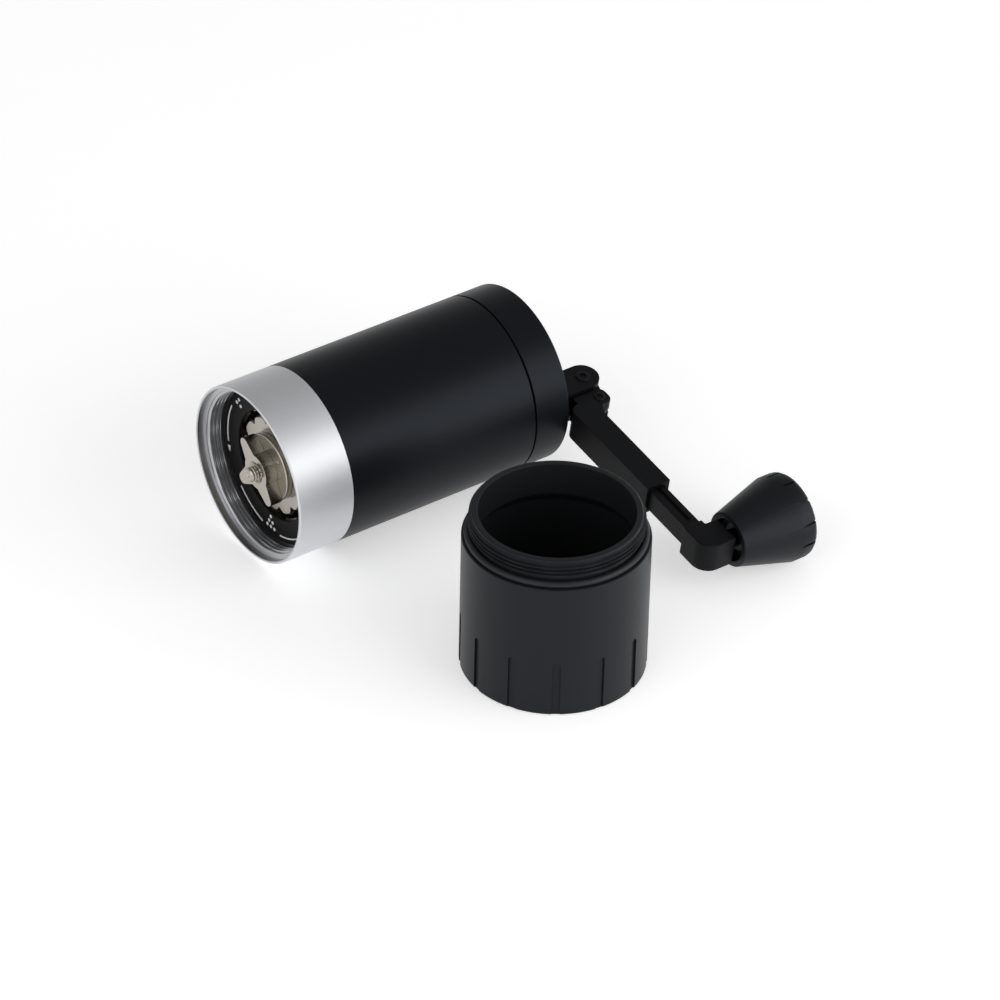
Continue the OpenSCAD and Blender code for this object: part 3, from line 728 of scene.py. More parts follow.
class GRINDER_OT_dial(bpy.types.Operator):
    """Turn the dial plate and ink its marks"""

    bl_idname = "grinder.dial"
    bl_label = "Dial"

    def execute(self, context):
        front, back = span("dial_plate")
        rim = radius_of("dial_plate")
        opening = 1.9 * MM
        hole = radius_of("inner_burr") + opening
        corners = [(hole, front, 0.5 * MM), (rim, front, 0.2 * MM)]
        corners += [(rim, back, 0.1 * MM), (hole, back, 0.1 * MM)]
        plate = turned_ring("dial_face", corners)
        finish_piece(plate, BODY_PLACE, "dial_black", "dial_plate")
        finish_nodes("print_white", "dial_marks")
        return {"FINISHED"}


class GRINDER_OT_burrs(bpy.types.Operator):
    """Grind the fluted inner burr and finish the outer burr"""

    bl_idname = "grinder.burrs"
    bl_label = "Burrs"

    lobes: bpy.props.IntProperty(name="Lobes", description="Lobes of the burr", default=12, min=3)

    def execute(self, context):
        base, top = span("inner_burr")
        rim = radius_of("inner_burr")
        chamfer, lobe_depth, bore = 0.6 * MM, 1.9 * MM, 4.05 * MM
        face = 1 - chamfer / rim
        outline = self.lobed_outline(rim, lobe_depth)
        points = [(u * face, v * face, base) for u, v in outline + outline[:1]]
        burr = trace("inner_burr_teeth", points)
        bpy.ops.mesh.remove_doubles(threshold=WELD)
        bpy.ops.mesh.edge_face_add()
        bpy.ops.mesh.extrude_region_move(TRANSFORM_OT_translate={"value": (0, 0, chamfer)})
        bpy.ops.transform.resize(value=(1 / face, 1 / face, 1), center_override=(0, 0, 0))
        self.raise_flutes(top - base - chamfer)
        close_up()
        combine(burr, drill("burr_bore", bore, base - MM, top + MM))
        finish_piece(burr, BODY_PLACE, "burr_steel", "inner_burr", smooth=28)
        finish_nodes("burr_steel", "outer_burr")
        return {"FINISHED"}

    def lobed_outline(self, rim, depth):
        """Round lobes with a narrow scallop between each pair."""
        points_each, narrowness = 16, 8
        count = self.lobes * points_each
        outline = []
        for step in range(count):
            angle = FULL_TURN * step / count
            scallop = math.sin(angle * self.lobes / 2) ** narrowness
            radius = rim - depth * scallop
            outline.append((radius * math.cos(angle), radius * math.sin(angle)))
        return outline

    def raise_flutes(self, height):
        """Extrudes the lobed face upwards in steps that turn it and draw it in."""
        steps, twist, top_share = 14, math.radians(40), 0.608
        narrowing = top_share ** (1 / steps)
        axis = (0, 0, 0)
        rise = (0, 0, height / steps)
        for _ in range(steps):
            bpy.ops.mesh.extrude_region_move(TRANSFORM_OT_translate={"value": rise})
            bpy.ops.transform.resize(value=(narrowing, narrowing, 1), center_override=axis)
            bpy.ops.transform.rotate(value=twist / steps, orient_axis="Z", center_override=axis)


class GRINDER_OT_nut(bpy.types.Operator):
    """Mill the winged adjusting nut and turn the click disc behind it"""

    bl_idname = "grinder.nut"
    bl_label = "Adjusting nut"

    wings: bpy.props.IntProperty(
        name="Wings", description="Wings of the nut", default=3, min=1, max=4
    )
    turn: bpy.props.FloatProperty(
        name="Turn",
        description="Where the last wing points",
        default=math.radians(138),
        subtype="ANGLE",
    )
    dimples: bpy.props.IntProperty(
        name="Dimples", description="Dimples that the nut clicks into", default=4, min=1
    )

    def execute(self, context):
        front, back = span("adjusting_nut")
        sizes = body_sizes()
        nut = slab("nut_body", self.winged(self.tip_radius()), front, back)
        break_edges(nut, 0.42 * MM, angle=35, segments=3)
        bore = SCREW_RADIUS + RUNNING_FIT
        flare = bore + sizes.nut_flare
        profile = [(0, front - MM), (flare + MM, front - MM)]
        profile += [(bore, front + sizes.nut_flare), (bore, back + MM), (0, back + MM)]
        combine(nut, turned("nut_bore", profile, steps=96))
        finish_piece(nut, BODY_PLACE, "burr_steel", "adjusting_nut", smooth=30)
        self.turn_click_disc()
        return {"FINISHED"}

    def tip_radius(self):
        """Radius over the nut's wings, from its farthest point."""
        points = frame["nodes"]["adjusting_nut"].data.vertices
        return max((vertex.co - BODY_AXIS).yz.length for vertex in points)

    def winged(self, rim):
        """A round hub with wings whose straight flanks draw in to a rounded tip."""
        sizes = body_sizes()
        reach_out = rim - sizes.wing_tip
        flank = math.degrees(math.acos((sizes.wing_root - sizes.wing_tip) / reach_out))
        foot = flank - math.degrees(math.acos(sizes.wing_root / sizes.nut_hub))
        apart = 90
        rest = 360 - apart * (self.wings - 1)
        outline = []
        for wing in range(self.wings):
            middle = math.degrees(self.turn) + (wing - self.wings + 1) * apart
            step = rest if wing == self.wings - 1 else apart
            tip = arc((0, 0), reach_out, middle, middle, 1)[0]
            outline += arc(tip, sizes.wing_tip, middle - flank, middle + flank)
            outline += arc((0, 0), sizes.nut_hub, middle + foot, middle + step - foot, 24)
        return outline

    def turn_click_disc(self):
        """The disc that the nut clicks against, with its dimples."""
        front, back = span("click_disc")
        rim = radius_of("click_disc")
        bore = SCREW_RADIUS + RUNNING_FIT
        corners = [(bore, front, 0), (rim, front, 0.45 * MM), (rim, back, 0.3 * MM)]
        disc = turned_ring("click_plate", corners + [(bore, back, 0)])
        dimple, from_rim = 0.7 * MM, 3 * MM
        profile = [(0, dimple), (dimple * 0.7, dimple * 0.7), (dimple, 0), (dimple, -MM), (0, -MM)]
        tool = turned("dimple_tool", profile, steps=24)
        first = Matrix.Rotation(self.turn, 4, "Z")
        tool.matrix_world = first @ Matrix.Translation((rim - from_rim, 0, front))
        combine(disc, repeat(tool, self.dimples))
        finish_piece(disc, BODY_PLACE, "burr_steel", "click_disc")


class GRINDER_OT_shaft(bpy.types.Operator):
    """Turn the drive shaft with its threaded tip, and wind the burr spring"""

    bl_idname = "grinder.shaft"
    bl_label = "Shaft and spring"

    def execute(self, context):
        sizes = body_sizes()
        tip, top = span("drive_shaft")
        step_z = span("click_disc")[1]
        groove = span("shaft_clip")
        thick = radius_of("drive_shaft")
        neck = thick - 0.5 * MM
        root = SCREW_RADIUS - 0.32 * MM
        chamfer, blunt, centre = 0.3 * MM, 0.4 * MM, 0.9 * MM
        start, end = tip + blunt, step_z - MM
        hex_z = span("body_tube")[1] + 1 * MM
        profile = [(0, tip + centre), (centre, tip), (root - blunt, tip)]
        profile += rows(root, start, end, 0.09 * MM)
        profile += [(root, step_z), (thick - chamfer, step_z), (thick, step_z + chamfer)]
        profile += [(thick, groove[0]), (neck, groove[0]), (neck, groove[1]), (thick, groove[1])]
        profile += [(thick, hex_z - chamfer), (thick - chamfer, hex_z), (0, hex_z)]
        shaft = turned("shaft_turning", profile, steps=96)
        wind_thread(shaft, root, SCREW_RADIUS, start, end, sizes.screw_pitch)
        across_flats = 6.4 * MM
        corner = across_flats / math.sqrt(3)
        profile = [(0, hex_z - MM), (corner, hex_z - MM)]
        profile += [(corner, top - blunt), (corner - blunt, top), (0, top)]
        drive = turned("shaft_hexagon", profile, steps=6)
        drive.matrix_world = Matrix.Rotation(DROOP - math.pi / 2, 4, "Z")
        combine(shaft, drive, "UNION")
        finish_piece(shaft, BODY_PLACE, "burr_steel", "drive_shaft")
        self.wind_spring()
        finish_nodes("bearing_steel", "upper_bearing_inner", "lower_bearing_inner")
        finish_nodes("clip_steel", "shaft_clip")
        return {"FINISHED"}

    def wind_spring(self):
        """A round wire wound between the inner burr and the bearing."""
        low, high = span("burr_spring")
        outer = radius_of("burr_spring")
        wire, turns, turn_steps = 0.48 * MM, 3, 40
        bpy.ops.object.select_all(action="DESELECT")
        bpy.ops.mesh.primitive_circle_add(
            vertices=12,
            radius=wire,
            location=(outer - wire, 0, low + wire),
            rotation=(math.pi / 2, 0, 0),
        )
        spring = bpy.context.object
        spring.name = "spring_wire"
        bpy.ops.object.transform_apply(location=True, rotation=True, scale=True)
        shape_with(
            spring,
            "SCREW",
            steps=turn_steps,
            render_steps=turn_steps,
            iterations=turns,
            screw_offset=(high - low - 2 * wire) / turns,
        )
        bpy.ops.object.mode_set(mode="EDIT")
        bpy.ops.mesh.select_all(action="SELECT")
        bpy.ops.mesh.remove_doubles(threshold=WELD)
        bpy.ops.mesh.select_mode(type="EDGE")
        bpy.ops.mesh.select_all(action="DESELECT")
        bpy.ops.mesh.select_non_manifold()
        bpy.ops.mesh.edge_face_add()
        close_up()
        finish_piece(spring, BODY_PLACE, "spring_steel", "burr_spring", smooth=50)


class GRINDER_OT_inside(bpy.types.Operator):
    """Finish the carrier, the bridge and the bearings inside the tube"""

    bl_idname = "grinder.inside"
    bl_label = "Inside"

    def execute(self, context):
        finish_nodes("carrier_black", "burr_carrier", "upper_bridge")
        for place in ("upper", "lower"):
            finish_nodes("bearing_steel", f"{place}_bearing_outer", f"{place}_bearing_balls")
        return {"FINISHED"}


class GRINDER_OT_lid(bpy.types.Operator):
    """Turn the lid with its spigot and seal groove"""

    bl_idname = "grinder.lid"
    bl_label = "Lid"

    def execute(self, context):
        sizes = body_sizes()
        outer = radius_of("lid_shell")
        low, top = span("lid_shell")
        seam = 0.6 * MM
        base = low + sizes.lid_spigot + seam
        plug = radius_of("lid_seal") - 0.25 * MM
        bore = plug - 3 * MM
        bush = 8.1 * MM
        seal_low, seal_high = span("lid_seal")
        groove = plug - 0.6 * MM
        under = top - sizes.lid_top
        lid = turned_ring(
            "lid_turning",
            [
                (bore, low, 0.3 * MM),
                (plug, low, 0.4 * MM),
                (plug, seal_low, 0),
                (groove, seal_low, 0),
                (groove, seal_high, 0),
                (plug, seal_high, 0),
                (plug, base, 0),
                (outer, base, sizes.seam_round),
                (outer, top, sizes.lid_round),
                (bush, top, 0.2 * MM),
                (bush, under, 0.1 * MM),
                (bore, under, 1 * MM),
            ],
        )
        finish_piece(lid, BODY_PLACE, "black_anodised", "lid_shell")
        finish_nodes("bush_bronze", "lid_bush")
        finish_nodes("seal_black", "lid_seal")
        return {"FINISHED"}


class GRINDER_OT_hub(bpy.types.Operator):
    """Mill the crank's hub with its yoke, and fit the fold pin"""

    bl_idname = "grinder.hub"
    bl_label = "Crank hub"

    def execute(self, context):
        sizes = crank_sizes()
        low, top = span("crank_hub")
        base = span("lid_shell")[1] + 0.5 * MM
        plate = base + 5 * MM
        half = sizes.ear_width / 2
        inner = sizes.tongue_thickness / 2 + 0.2 * MM
        outer = inner + sizes.ear_thickness
        heel, tip = PIN_REACH - half, PIN_REACH + half
        pin = (PIN_REACH, PIN_HEIGHT)
        outline = [(0, base), (tip, base)] + arc(pin, half, 0, 180, 24)
        outline += softened([(heel, PIN_HEIGHT, 0), (heel, plate, 1 * MM), (0, plate, 0)])[1:]
        yoke = slab("hub_yoke", outline, -outer, outer, across="Y")
        # Bored before the gap is cut, so that the mesh comes out the same each time.
        pin_hole = arc(pin, PIN_RADIUS, 0, 345, 23)
        combine(yoke, slab("pin_bore", pin_hole, -outer - MM, outer + MM, across="Y"))
        gap_start = heel - 9 * MM
        gap = block("yoke_gap", (gap_start, -inner, plate), (tip + MM, inner, top + MM))
        combine(yoke, gap)
        rim, under = 11.5 * MM, plate - 0.01 * MM
        corners = [(0, base, 0), (rim, base, 0.4 * MM), (rim, under, 0.6 * MM), (0, under, 0)]
        disc = turned("hub_disc", softened(corners), steps=96)
        combine(yoke, disc, "UNION")
        break_edges(yoke, sizes.edge)
        finish_piece(yoke, CRANK_PLACE, "crank_black", "crank_hub")
        self.turn_stem(low, base)
        pin = cross_pin("fold_pin_head", PIN_REACH, outer)
        finish_piece(pin, CRANK_PLACE, "screw_black", "fold_pin")
        finish_nodes("clip_steel", "hub_clip")
        return {"FINISHED"}

    def turn_stem(self, low, base):
        """The hub's stem through the lid's bush, with its hexagon socket."""
        centre, rim, corner = 0.5 * MM, 6.5 * MM, 3.8 * MM
        top = base + MM
        corners = [(centre, low, 0), (rim, low, 0.3 * MM), (rim, top, 0), (centre, top, 0)]
        stem = turned_ring("hub_stem", corners, steps=96)
        socket_end = span("drive_shaft")[1] + 1.5 * MM
        socket = drill("hub_socket", corner, low - MM, socket_end, steps=6)
        combine(stem, socket)
        finish_piece(stem, CRANK_PLACE, "crank_black", "crank_hub")


def cross_pin(name, place, half, head=2.4 * MM):
    """A pin across the crank's plane, with a low, socketed head at each end."""
    end = half + 0.3 * MM
    upper = [(PIN_RADIUS, half, 0), (head, half, 0), (head, end, 0.2 * MM), (0, end, 0)]
    lower = [(radius, -height, rounding) for radius, height, rounding in reversed(upper)]
    pin = turned(name, softened(lower + upper), steps=48)
    socket, depth = 1.15 * MM, 0.65 * MM
    for side in (-1, 1):
        face = side * end
        bottom, over = face - side * depth, face + side * MM
        profile = [(0, bottom), (socket * 0.5, bottom), (socket, face - side * depth * 0.8)]
        combine(pin, turned("socket_tool", profile + [(socket, over), (0, over)], steps=6))
    upright = Matrix.Rotation(math.pi / 2, 4, "X")
    settle(pin, Matrix.Translation((place, 0, PIN_HEIGHT)) @ upright)
    return pin


class GRINDER_OT_sleeve(bpy.types.Operator):
    """Mill the arm's sleeve with its knuckle, detent leaf and clamp screw"""

    bl_idname = "grinder.sleeve"
    bl_label = "Arm sleeve"

    def execute(self, context):
        sizes = crank_sizes()
        low = span("crank_sleeve")[0]
        high = low + 9 * MM
        end = 71 * MM
        half, half_knuckle, half_tongue = 5.5 * MM, 4.8 * MM, sizes.tongue_thickness / 2
        eye = sizes.ear_width / 2 - 0.4 * MM
        start = PIN_REACH + sizes.ear_width / 2 + 0.6 * MM
        body_start = start + 3.6 * MM
        knuckle_end = PIN_REACH + 13 * MM
        knuckle_top = PIN_HEIGHT + 3.2 * MM
        corners = [(body_start, low, 3.5 * MM), (end, low, 0), (end, high, 0)]
        outline = softened(corners + [(body_start, high, 0.5 * MM)], steps=8)
        tube = slab("arm_sleeve", outline, -half, half, across="Y")
        belly, root = low + 4.2 * MM, knuckle_end + 4 * MM
        corners = [
            (start, belly, 0.8 * MM),
            (root, belly, 0),
            (root, high, 0),
            (knuckle_end, high + 2.5 * MM, 1.2 * MM),
            (knuckle_end, knuckle_top, 2.4 * MM),
            (start, knuckle_top, 2.4 * MM),
        ]
        outline = softened(corners, steps=6)
        knuckle = slab("arm_knuckle", outline, -half_knuckle, half_knuckle, across="Y")
        combine(tube, knuckle, "UNION")
        outline = arc((PIN_REACH, PIN_HEIGHT), eye, 90, 270, 20)
        outline += [(start + MM, PIN_HEIGHT - eye), (start + MM, PIN_HEIGHT + eye - 2 * MM)]
        outline += [(PIN_REACH + 2.4 * MM, PIN_HEIGHT + eye - 0.6 * MM)]
        tongue = slab("arm_tongue", outline, -half_tongue, half_tongue, across="Y")
        combine(tube, tongue, "UNION")
        self.cut_pockets(tube, start, high, body_start, end)
        break_edges(tube, sizes.edge)
        finish_piece(tube, CRANK_PLACE, "crank_black", "crank_sleeve")
        clamp = cross_pin("clamp_screw_head", PIN_REACH + 9.6 * MM, half_knuckle, 1.8 * MM)
        finish_piece(clamp, CRANK_PLACE, "screw_black", "clamp_screw")
        self.cut_leaf(start, high, knuckle_end, knuckle_top)
        return {"FINISHED"}

    def cut_pockets(self, tube, start, high, body_start, end):
        """The slot across the knuckle and the pocket for the bar."""
        sizes = crank_sizes()
        half, over = sizes.slot / 2, 20 * MM
        near = (start + 0.4 * MM, -half, high + MM)
        combine(tube, block("knuckle_slot", near, (start + over, half, high + over)))
        pocket_z = span("crank_sleeve")[0] + sizes.sleeve_wall
        half = 4 * MM
        near = (body_start + 4 * MM, -half, pocket_z)
        combine(tube, block("bar_pocket", near, (end + MM, half, pocket_z + 6 * MM)))

    def cut_leaf(self, start, high, knuckle_end, knuckle_top):
        """The spring leaf in the knuckle's slot."""
        inset, half, corner = 0.4 * MM, 0.8 * MM, 2 * MM
        left, right, foot, top = start + inset, knuckle_end - inset, high + MM, knuckle_top - inset
        corners = [(left, foot, 0), (right, foot, 0), (right, top, corner), (left, top, corner)]
        leaf = slab("detent_plate", softened(corners), -half, half, across="Y")
        break_edges(leaf, 0.12 * MM)
        finish_piece(leaf, CRANK_PLACE, "clip_steel", "detent_leaf")


class GRINDER_OT_slider(bpy.types.Operator):
    """Mill the sliding bar and its elbow, and turn the knob's spindle"""

    bl_idname = "grinder.slider"
    bl_label = "Slider and elbow"

    def execute(self, context):
        sizes = crank_sizes()
        low, high = span("slider_bar")
        half, start = 3.9 * MM, 49 * MM
        elbow_start = KNOB_REACH - 7.2 * MM
        end = elbow_start + MM
        outline = [(start, low), (end, low), (end, high), (start, high)]
        bar = slab("slider_rail", outline, -half, half, across="Y")
        middle, half_groove, depth = (low + high) / 2, sizes.bar_groove / 2, 0.8 * MM
        for side in (-1, 1):
            face = side * half
            near, far = sorted((face - side * depth, face + side * MM))
            groove = block(
                "rail_groove",
                (start - MM, near, middle - half_groove),
                (elbow_start - 3 * MM, far, middle + half_groove),
            )
            combine(bar, groove)
        break_edges(bar, 0.3 * MM)
        finish_piece(bar, CRANK_PLACE, "crank_black", "slider_bar")
        self.mill_elbow(elbow_start)
        self.turn_spindle()
        return {"FINISHED"}

    def mill_elbow(self, start):
        """The elbow that turns the bar towards the knob."""
        sizes = crank_sizes()
        low, top = span("elbow_block")
        half_foot, half, height = 5.2 * MM, 5.7 * MM, 7.2 * MM
        near, far = KNOB_REACH - half_foot, KNOB_REACH + half_foot
        corners = [
            (start, low, 0),
            (far, low, sizes.elbow_round),
            (far, top, 0),
            (near, top, 0),
            (near, low + height, 0.5 * MM),
            (start, low + height, 0),
        ]
        elbow = slab("elbow_joint", softened(corners, steps=12), -half, half, across="Y")
        break_edges(elbow, 0.55 * MM)
        finish_piece(elbow, CRANK_PLACE, "crank_black", "elbow_block")

    def turn_spindle(self):
        """The spindle with its shoulder ring and its screw."""
        top = span("elbow_block")[1]
        end = span("knob_spindle")[1]
        rod, ring, shoulder = 3 * MM, 4.5 * MM, top + 0.6 * MM
        corners = [(0, top - MM, 0), (rod, top - MM, 0), (rod, top, 0), (ring, top, 0)]
        corners += [(ring, shoulder, 0.2 * MM), (rod, shoulder, 0), (rod, end, 0.3 * MM)]
        spindle = turned("spindle_pin", softened(corners + [(0, end, 0)]), steps=64)
        # The dark black oxide finish on the spindle paints in the shade that lies in the knob's mouth.
        finish_piece(spindle, KNOB_PLACE, "clip_steel", "knob_spindle")
        finish_nodes("burr_steel", "knob_screw")


class GRINDER_OT_knob(bpy.types.Operator):
    """Mould the knob with its hollow mouth, grooved band and end cap"""

    bl_idname = "grinder.knob"
    bl_label = "Knob"

    grooves: bpy.props.IntProperty(
        name="Grooves", description="Grooves round the band", default=12, min=3
    )

    def execute(self, context):
        sizes = crank_sizes()
        low, end = span("knob_shell")
        rim = radius_of("knob_shell")
        small, bush = 9.2 * MM, 4.65 * MM
        mouth, floor = small - 2 * MM, low + 4 * MM
        kink = low + 19.5 * MM
        cap = rim - sizes.knob_round - MM
        cap_front = span("knob_cap")[0]
        cap_hole = cap + RUNNING_FIT
        corners = [
            (bush, floor, 0),
            (mouth, floor, 0.5 * MM),
            (mouth, low, 0.5 * MM),
            (small, low, 0.5 * MM),
            (rim, kink, 0),
            (rim, end, sizes.knob_round),
            (cap_hole, end, 0.3 * MM),
            (cap_hole, cap_front, 0),
            (bush, cap_front, 0),
        ]
        knob = turned_ring("knob_moulding", corners)
        self.groove_band(knob, rim, kink, end)
        finish_piece(knob, KNOB_PLACE, "knob_black", "knob_shell")
        self.press_cap(cap, cap_front, end)
        finish_nodes("bush_nylon", "knob_bush")
        return {"FINISHED"}

    def groove_band(self, knob, rim, kink, end):
        """Grooves that run out at the kink and deepen towards the end."""
        half, depth = crank_sizes().knob_groove / 2, 0.9 * MM
        start, over = kink - 0.5 * MM, end + MM
        outline = [
            (rim - 0.05 * MM, start),
            (rim + MM, start),
            (rim + MM, over),
            (rim - depth - 2 * MM, over),
            (rim - depth, end - 2 * MM),
        ]
        tool = slab("band_groove", outline, -half, half, across="Y")
        combine(knob, repeat(tool, self.grooves))

    def press_cap(self, radius, front, end):
        """The cap in the knob's end, crowned by a hair."""
        corners = [(0, front, 0), (radius, front, 0)]
        corners += [(radius, end - 0.3 * MM, 0.25 * MM), (0, end - 0.1 * MM, 0)]
        cap = turned("knob_end_cap", softened(corners), steps=96)
        finish_piece(cap, KNOB_PLACE, "knob_black", "knob_cap")


class GRINDER_OT_cup(bpy.types.Operator):
    """Turn the receiver cup with its threaded neck, grip grooves and seal"""

    bl_idname = "grinder.cup"
    bl_label = "Receiver cup"

    def execute(self, context):
        sizes = cup_sizes()
        outer = radius_of("cup_shell")
        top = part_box("cup_shell")[1].z
        seal_low, seal_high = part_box("cup_seal")
        shoulder = seal_low.z
        cord = seal_high.z - seal_low.z
        neck = radius_of("cup_seal") - cord
        crest = neck + body_sizes().thread_depth
        mouth = neck - sizes.neck_wall
        inside = outer - sizes.wall
        start = seal_high.z + 0.5 * MM
        thread_end = top - 0.7 * MM
        profile = softened(
            [
                (0, 0, 0),
                (outer, 0, 0.8 * MM),
                (outer, shoulder, 0.35 * MM),
                (neck, shoulder, 0),
                (neck, start, 0),
            ]
        )[:-1]
        profile += rows(neck, start, thread_end)
        profile += softened(
            [
                (neck, thread_end, 0),
                (neck, top, 0.5 * MM),
                (mouth, top, 0.35 * MM),
                (mouth, shoulder - sizes.wall, 0),
                (inside, shoulder - sizes.wall - 4 * MM, 0),
                (inside, sizes.floor, 4 * MM),
                (0, sizes.floor, 0),
            ],
            steps=6,
        )[1:]
        cup = turned("cup_turning", profile, steps=240)
        wind_thread(cup, neck, crest, start, thread_end, body_sizes().thread_pitch)
        self.cut_grips(cup, outer)
        finish_piece(cup, CUP_PLACE, "cup_black", "cup_shell")
        self.roll_seal(neck + cord / 2, shoulder + cord / 2, cord / 2)
        return {"FINISHED"}

    def cut_grips(self, cup, outer):
        """Shallow grooves up the side, each with a rounded head."""
        sizes = cup_sizes()
        half = sizes.grip_width / 2
        outline = [(-half, -MM), (half, -MM)]
        outline += arc((0, sizes.grip_height - half), half, 0, 180, 12)
        tool = slab("grip_tool", outline, outer - sizes.grip_depth, outer + MM)
        half_step = Matrix.Rotation(FULL_TURN / sizes.grip_count / 2, 4, "Z")
        # Stands the flat tool up, with its thickness along X.
        upright = Matrix(((0, 0, 1), (1, 0, 0), (0, 1, 0))).to_4x4()
        settle(tool, half_step @ upright)
        combine(cup, repeat(tool, sizes.grip_count))

    def roll_seal(self, ring, height, cord):
        """The round silicone cord on the shoulder."""
        bpy.ops.object.select_all(action="DESELECT")
        bpy.ops.mesh.primitive_torus_add(
            location=(0, 0, height),
            major_radius=ring,
            minor_radius=cord,
            major_segments=192,
            minor_segments=24,
        )
        seal = bpy.context.object
        seal.name = "seal_cord"
        finish_piece(seal, CUP_PLACE, "seal_black", "cup_seal", smooth=60)


class GRINDER_OT_stage(bpy.types.Operator):
    """Lay the pale floor, hang the lamps and set the camera"""

    bl_idname = "grinder.stage"
    bl_label = "Stage"

    def execute(self, context):
        self.lay_floor()
        self.light_world()
        self.hang_lamps()
        self.set_camera()
        context.scene.view_settings.view_transform = "Standard"
        return {"FINISHED"}

    def lay_floor(self):
        """A wide floor that the shadows fall on and that runs out to plain white."""
        width, lift = 8, 0.43
        bpy.ops.object.select_all(action="DESELECT")
        bpy.ops.mesh.primitive_plane_add(size=width, location=(0, 0, CAD_BOX[0].z))
        floor = bpy.context.object
        floor.name = "floor"
        plain = {"Roughness": 0.9, "Specular IOR Level": 0, "Emission Color": (1, 1, 1, 1)}
        material, shader = start_material("pale_floor", colours().floor, plain)
        tree = material.node_tree
        # The lift is for the eye and for reflections, and lights no piece by itself.
        path = add_node(tree, "ShaderNodeLightPath").outputs
        seen = path["Is Camera Ray"]
        for ray in ("Is Glossy Ray", "Is Transmission Ray"):
            inputs = {0: seen, 1: path[ray]}
            seen = add_node(tree, "ShaderNodeMath", {"operation": "MAXIMUM"}, inputs).outputs[0]
        inputs = {0: seen, 1: lift}
        glow = add_node(tree, "ShaderNodeMath", {"operation": "MULTIPLY"}, inputs)
        feed(tree, shader, {"Emission Strength": glow.outputs[0]})
        floor.data.materials.append(material)

    def light_world(self):
        """A white room whose ceiling and back wall fall off to grey."""
        world = bpy.data.worlds.new("studio")
        bpy.context.scene.world = world
        world.use_nodes = True
        tree = world.node_tree
        background = tree.nodes["Background"]
        place = add_node(tree, "ShaderNodeTexCoord").outputs["Generated"]
        split = add_node(tree, "ShaderNodeSeparateXYZ", inputs={"Vector": place})
        # Each fall runs from full light at its start to a share of it at its end.
        falls = [("Z", 0.15, 0.75, 0.4), ("Y", 0.1, 0.8, 0.55)]
        levels = {}
        for socket, (axis, start, end, dark) in enumerate(falls):
            inputs = {"Value": split.outputs[axis], "From Min": start, "From Max": end}
            inputs.update({"To Min": 1, "To Max": dark})
            smooth = {"interpolation_type": "SMOOTHSTEP"}
            level = add_node(tree, "ShaderNodeMapRange", smooth, inputs)
            levels[socket] = level.outputs["Result"]
        both = add_node(tree, "ShaderNodeMath", {"operation": "MULTIPLY"}, levels)
        feed(tree, background, {"Color": (1, 1, 1, 1), "Strength": both.outputs["Value"]})

    def hang_lamps(self):
        """Broad lamps, each aimed at the middle of the object."""
        middle = (CAD_BOX[0] + CAD_BOX[1]) / 2
        # Name, place from the object's middle in metres, width in metres, power in watts.
        lamps = [
            ("key_lamp", (0.58, -1.0, 0.33), 1.25, 9.6),
            ("fill_lamp", (-0.9, -0.3, 0.6), 0.8, 2),
        ]
        for name, place, width, power in lamps:
            data = bpy.data.lights.new(name, "AREA")
            data.size = width
            data.energy = power
            lamp = bpy.data.objects.new(name, data)
            bpy.context.scene.collection.objects.link(lamp)
            lamp.location = middle + Vector(place)
            lamp.rotation_mode = "QUATERNION"
            lamp.rotation_quaternion = (-Vector(place)).to_track_quat("-Z", "Y")

    def set_camera(self):
        """A long lens from the burr end's side, a little rolled."""
        azimuth, height, roll = math.radians(-36.55), math.radians(35.87), math.radians(1.42)
        target, distance = Vector((0.0354, 0.0775, 0)), 1.809
        data = bpy.data.cameras.new("camera")
        data.lens = 200.2
        data.clip_start = 0.01
        data.clip_end = 50
        camera = bpy.data.objects.new("camera", data)
        bpy.context.scene.collection.objects.link(camera)
        bpy.context.scene.camera = camera
        level = math.cos(height)
        back = Vector((math.sin(azimuth) * level, -math.cos(azimuth) * level, math.sin(height)))
        right = Vector((0, 0, 1)).cross(back).normalized()
        up = back.cross(right)
        tilted = right * math.cos(roll) + up * math.sin(roll)
        turn = Matrix((tilted, back.cross(tilted), back)).transposed()
        camera.matrix_world = Matrix.Translation(target + back * distance) @ turn.to_4x4()


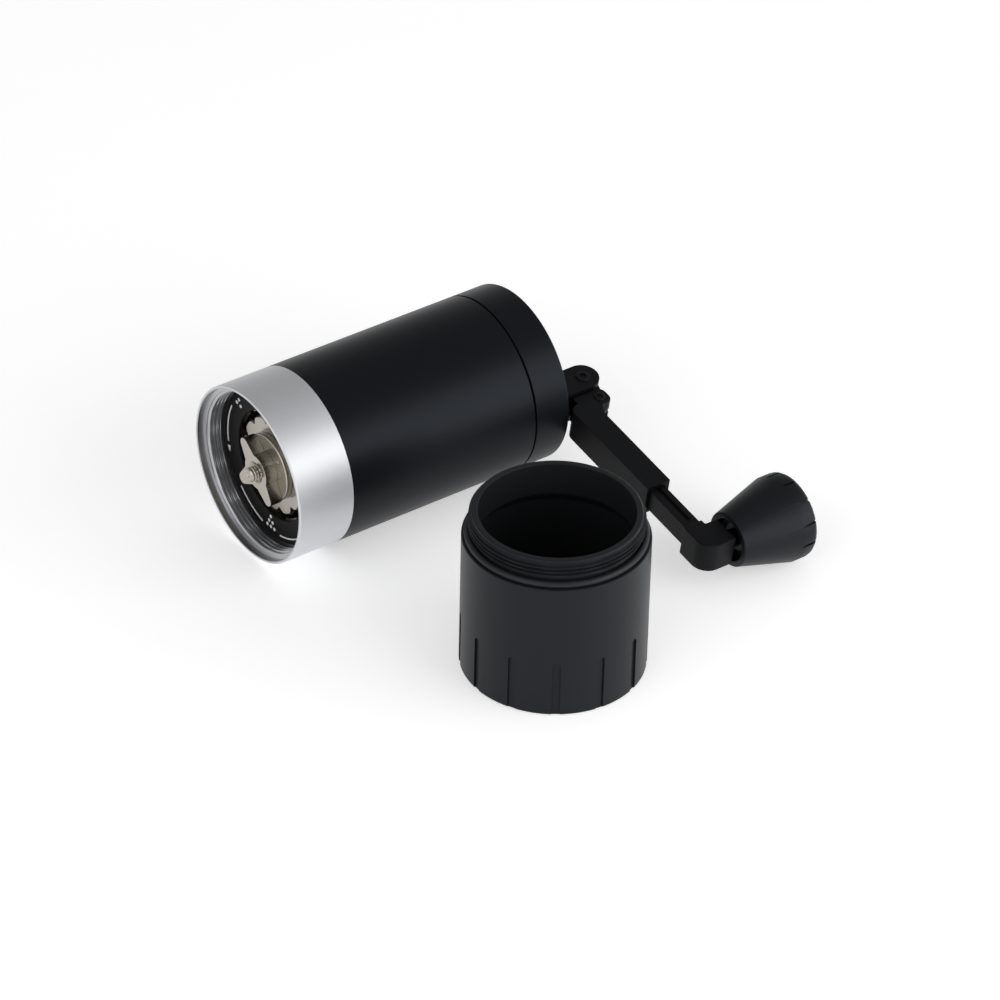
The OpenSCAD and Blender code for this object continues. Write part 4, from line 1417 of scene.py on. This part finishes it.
OPERATORS = (
    GRINDER_OT_tube,
    GRINDER_OT_dial,
    GRINDER_OT_burrs,
    GRINDER_OT_nut,
    GRINDER_OT_shaft,
    GRINDER_OT_inside,
    GRINDER_OT_lid,
    GRINDER_OT_hub,
    GRINDER_OT_sleeve,
    GRINDER_OT_slider,
    GRINDER_OT_knob,
    GRINDER_OT_cup,
    GRINDER_OT_stage,
)


class GRINDER_PT_panel(bpy.types.Panel):
    """Lists the operators of the pieces, their sizes and their colours"""

    bl_idname = "GRINDER_PT_panel"
    bl_label = "Coffee grinder"
    bl_space_type = "VIEW_3D"
    bl_region_type = "UI"
    bl_category = "Grinder"

    def draw(self, context):
        for operator in OPERATORS:
            self.layout.operator(operator.bl_idname)
        for group in (body_sizes(), crank_sizes(), cup_sizes(), colours()):
            box = self.layout.box()
            for name in group.__annotations__:
                box.prop(group, name)


GROUPS = {
    "grinder_body": GrinderBodySizes,
    "grinder_crank": GrinderCrankSizes,
    "grinder_cup": GrinderCupSizes,
    "grinder_colours": GrinderColours,
}


def register():
    """Registers the sizes and colours, the operators and the panel."""
    for name, group in GROUPS.items():
        bpy.utils.register_class(group)
        setattr(bpy.types.Scene, name, bpy.props.PointerProperty(type=group))
    for operator in OPERATORS:
        bpy.utils.register_class(operator)
    bpy.utils.register_class(GRINDER_PT_panel)


def unregister():
    """Takes all of it away again, in the opposite order."""
    bpy.utils.unregister_class(GRINDER_PT_panel)
    for operator in reversed(OPERATORS):
        bpy.utils.unregister_class(operator)
    for name, group in GROUPS.items():
        delattr(bpy.types.Scene, name)
        bpy.utils.unregister_class(group)


def main():
    """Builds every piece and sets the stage."""
    register()
    bpy.ops.grinder.tube()
    bpy.ops.grinder.dial()
    bpy.ops.grinder.burrs()
    bpy.ops.grinder.nut()
    bpy.ops.grinder.shaft()
    bpy.ops.grinder.inside()
    bpy.ops.grinder.lid()
    bpy.ops.grinder.hub()
    bpy.ops.grinder.sleeve()
    bpy.ops.grinder.slider()
    bpy.ops.grinder.knob()
    bpy.ops.grinder.cup()
    bpy.ops.grinder.stage()


if __name__ == "__main__":
    main()
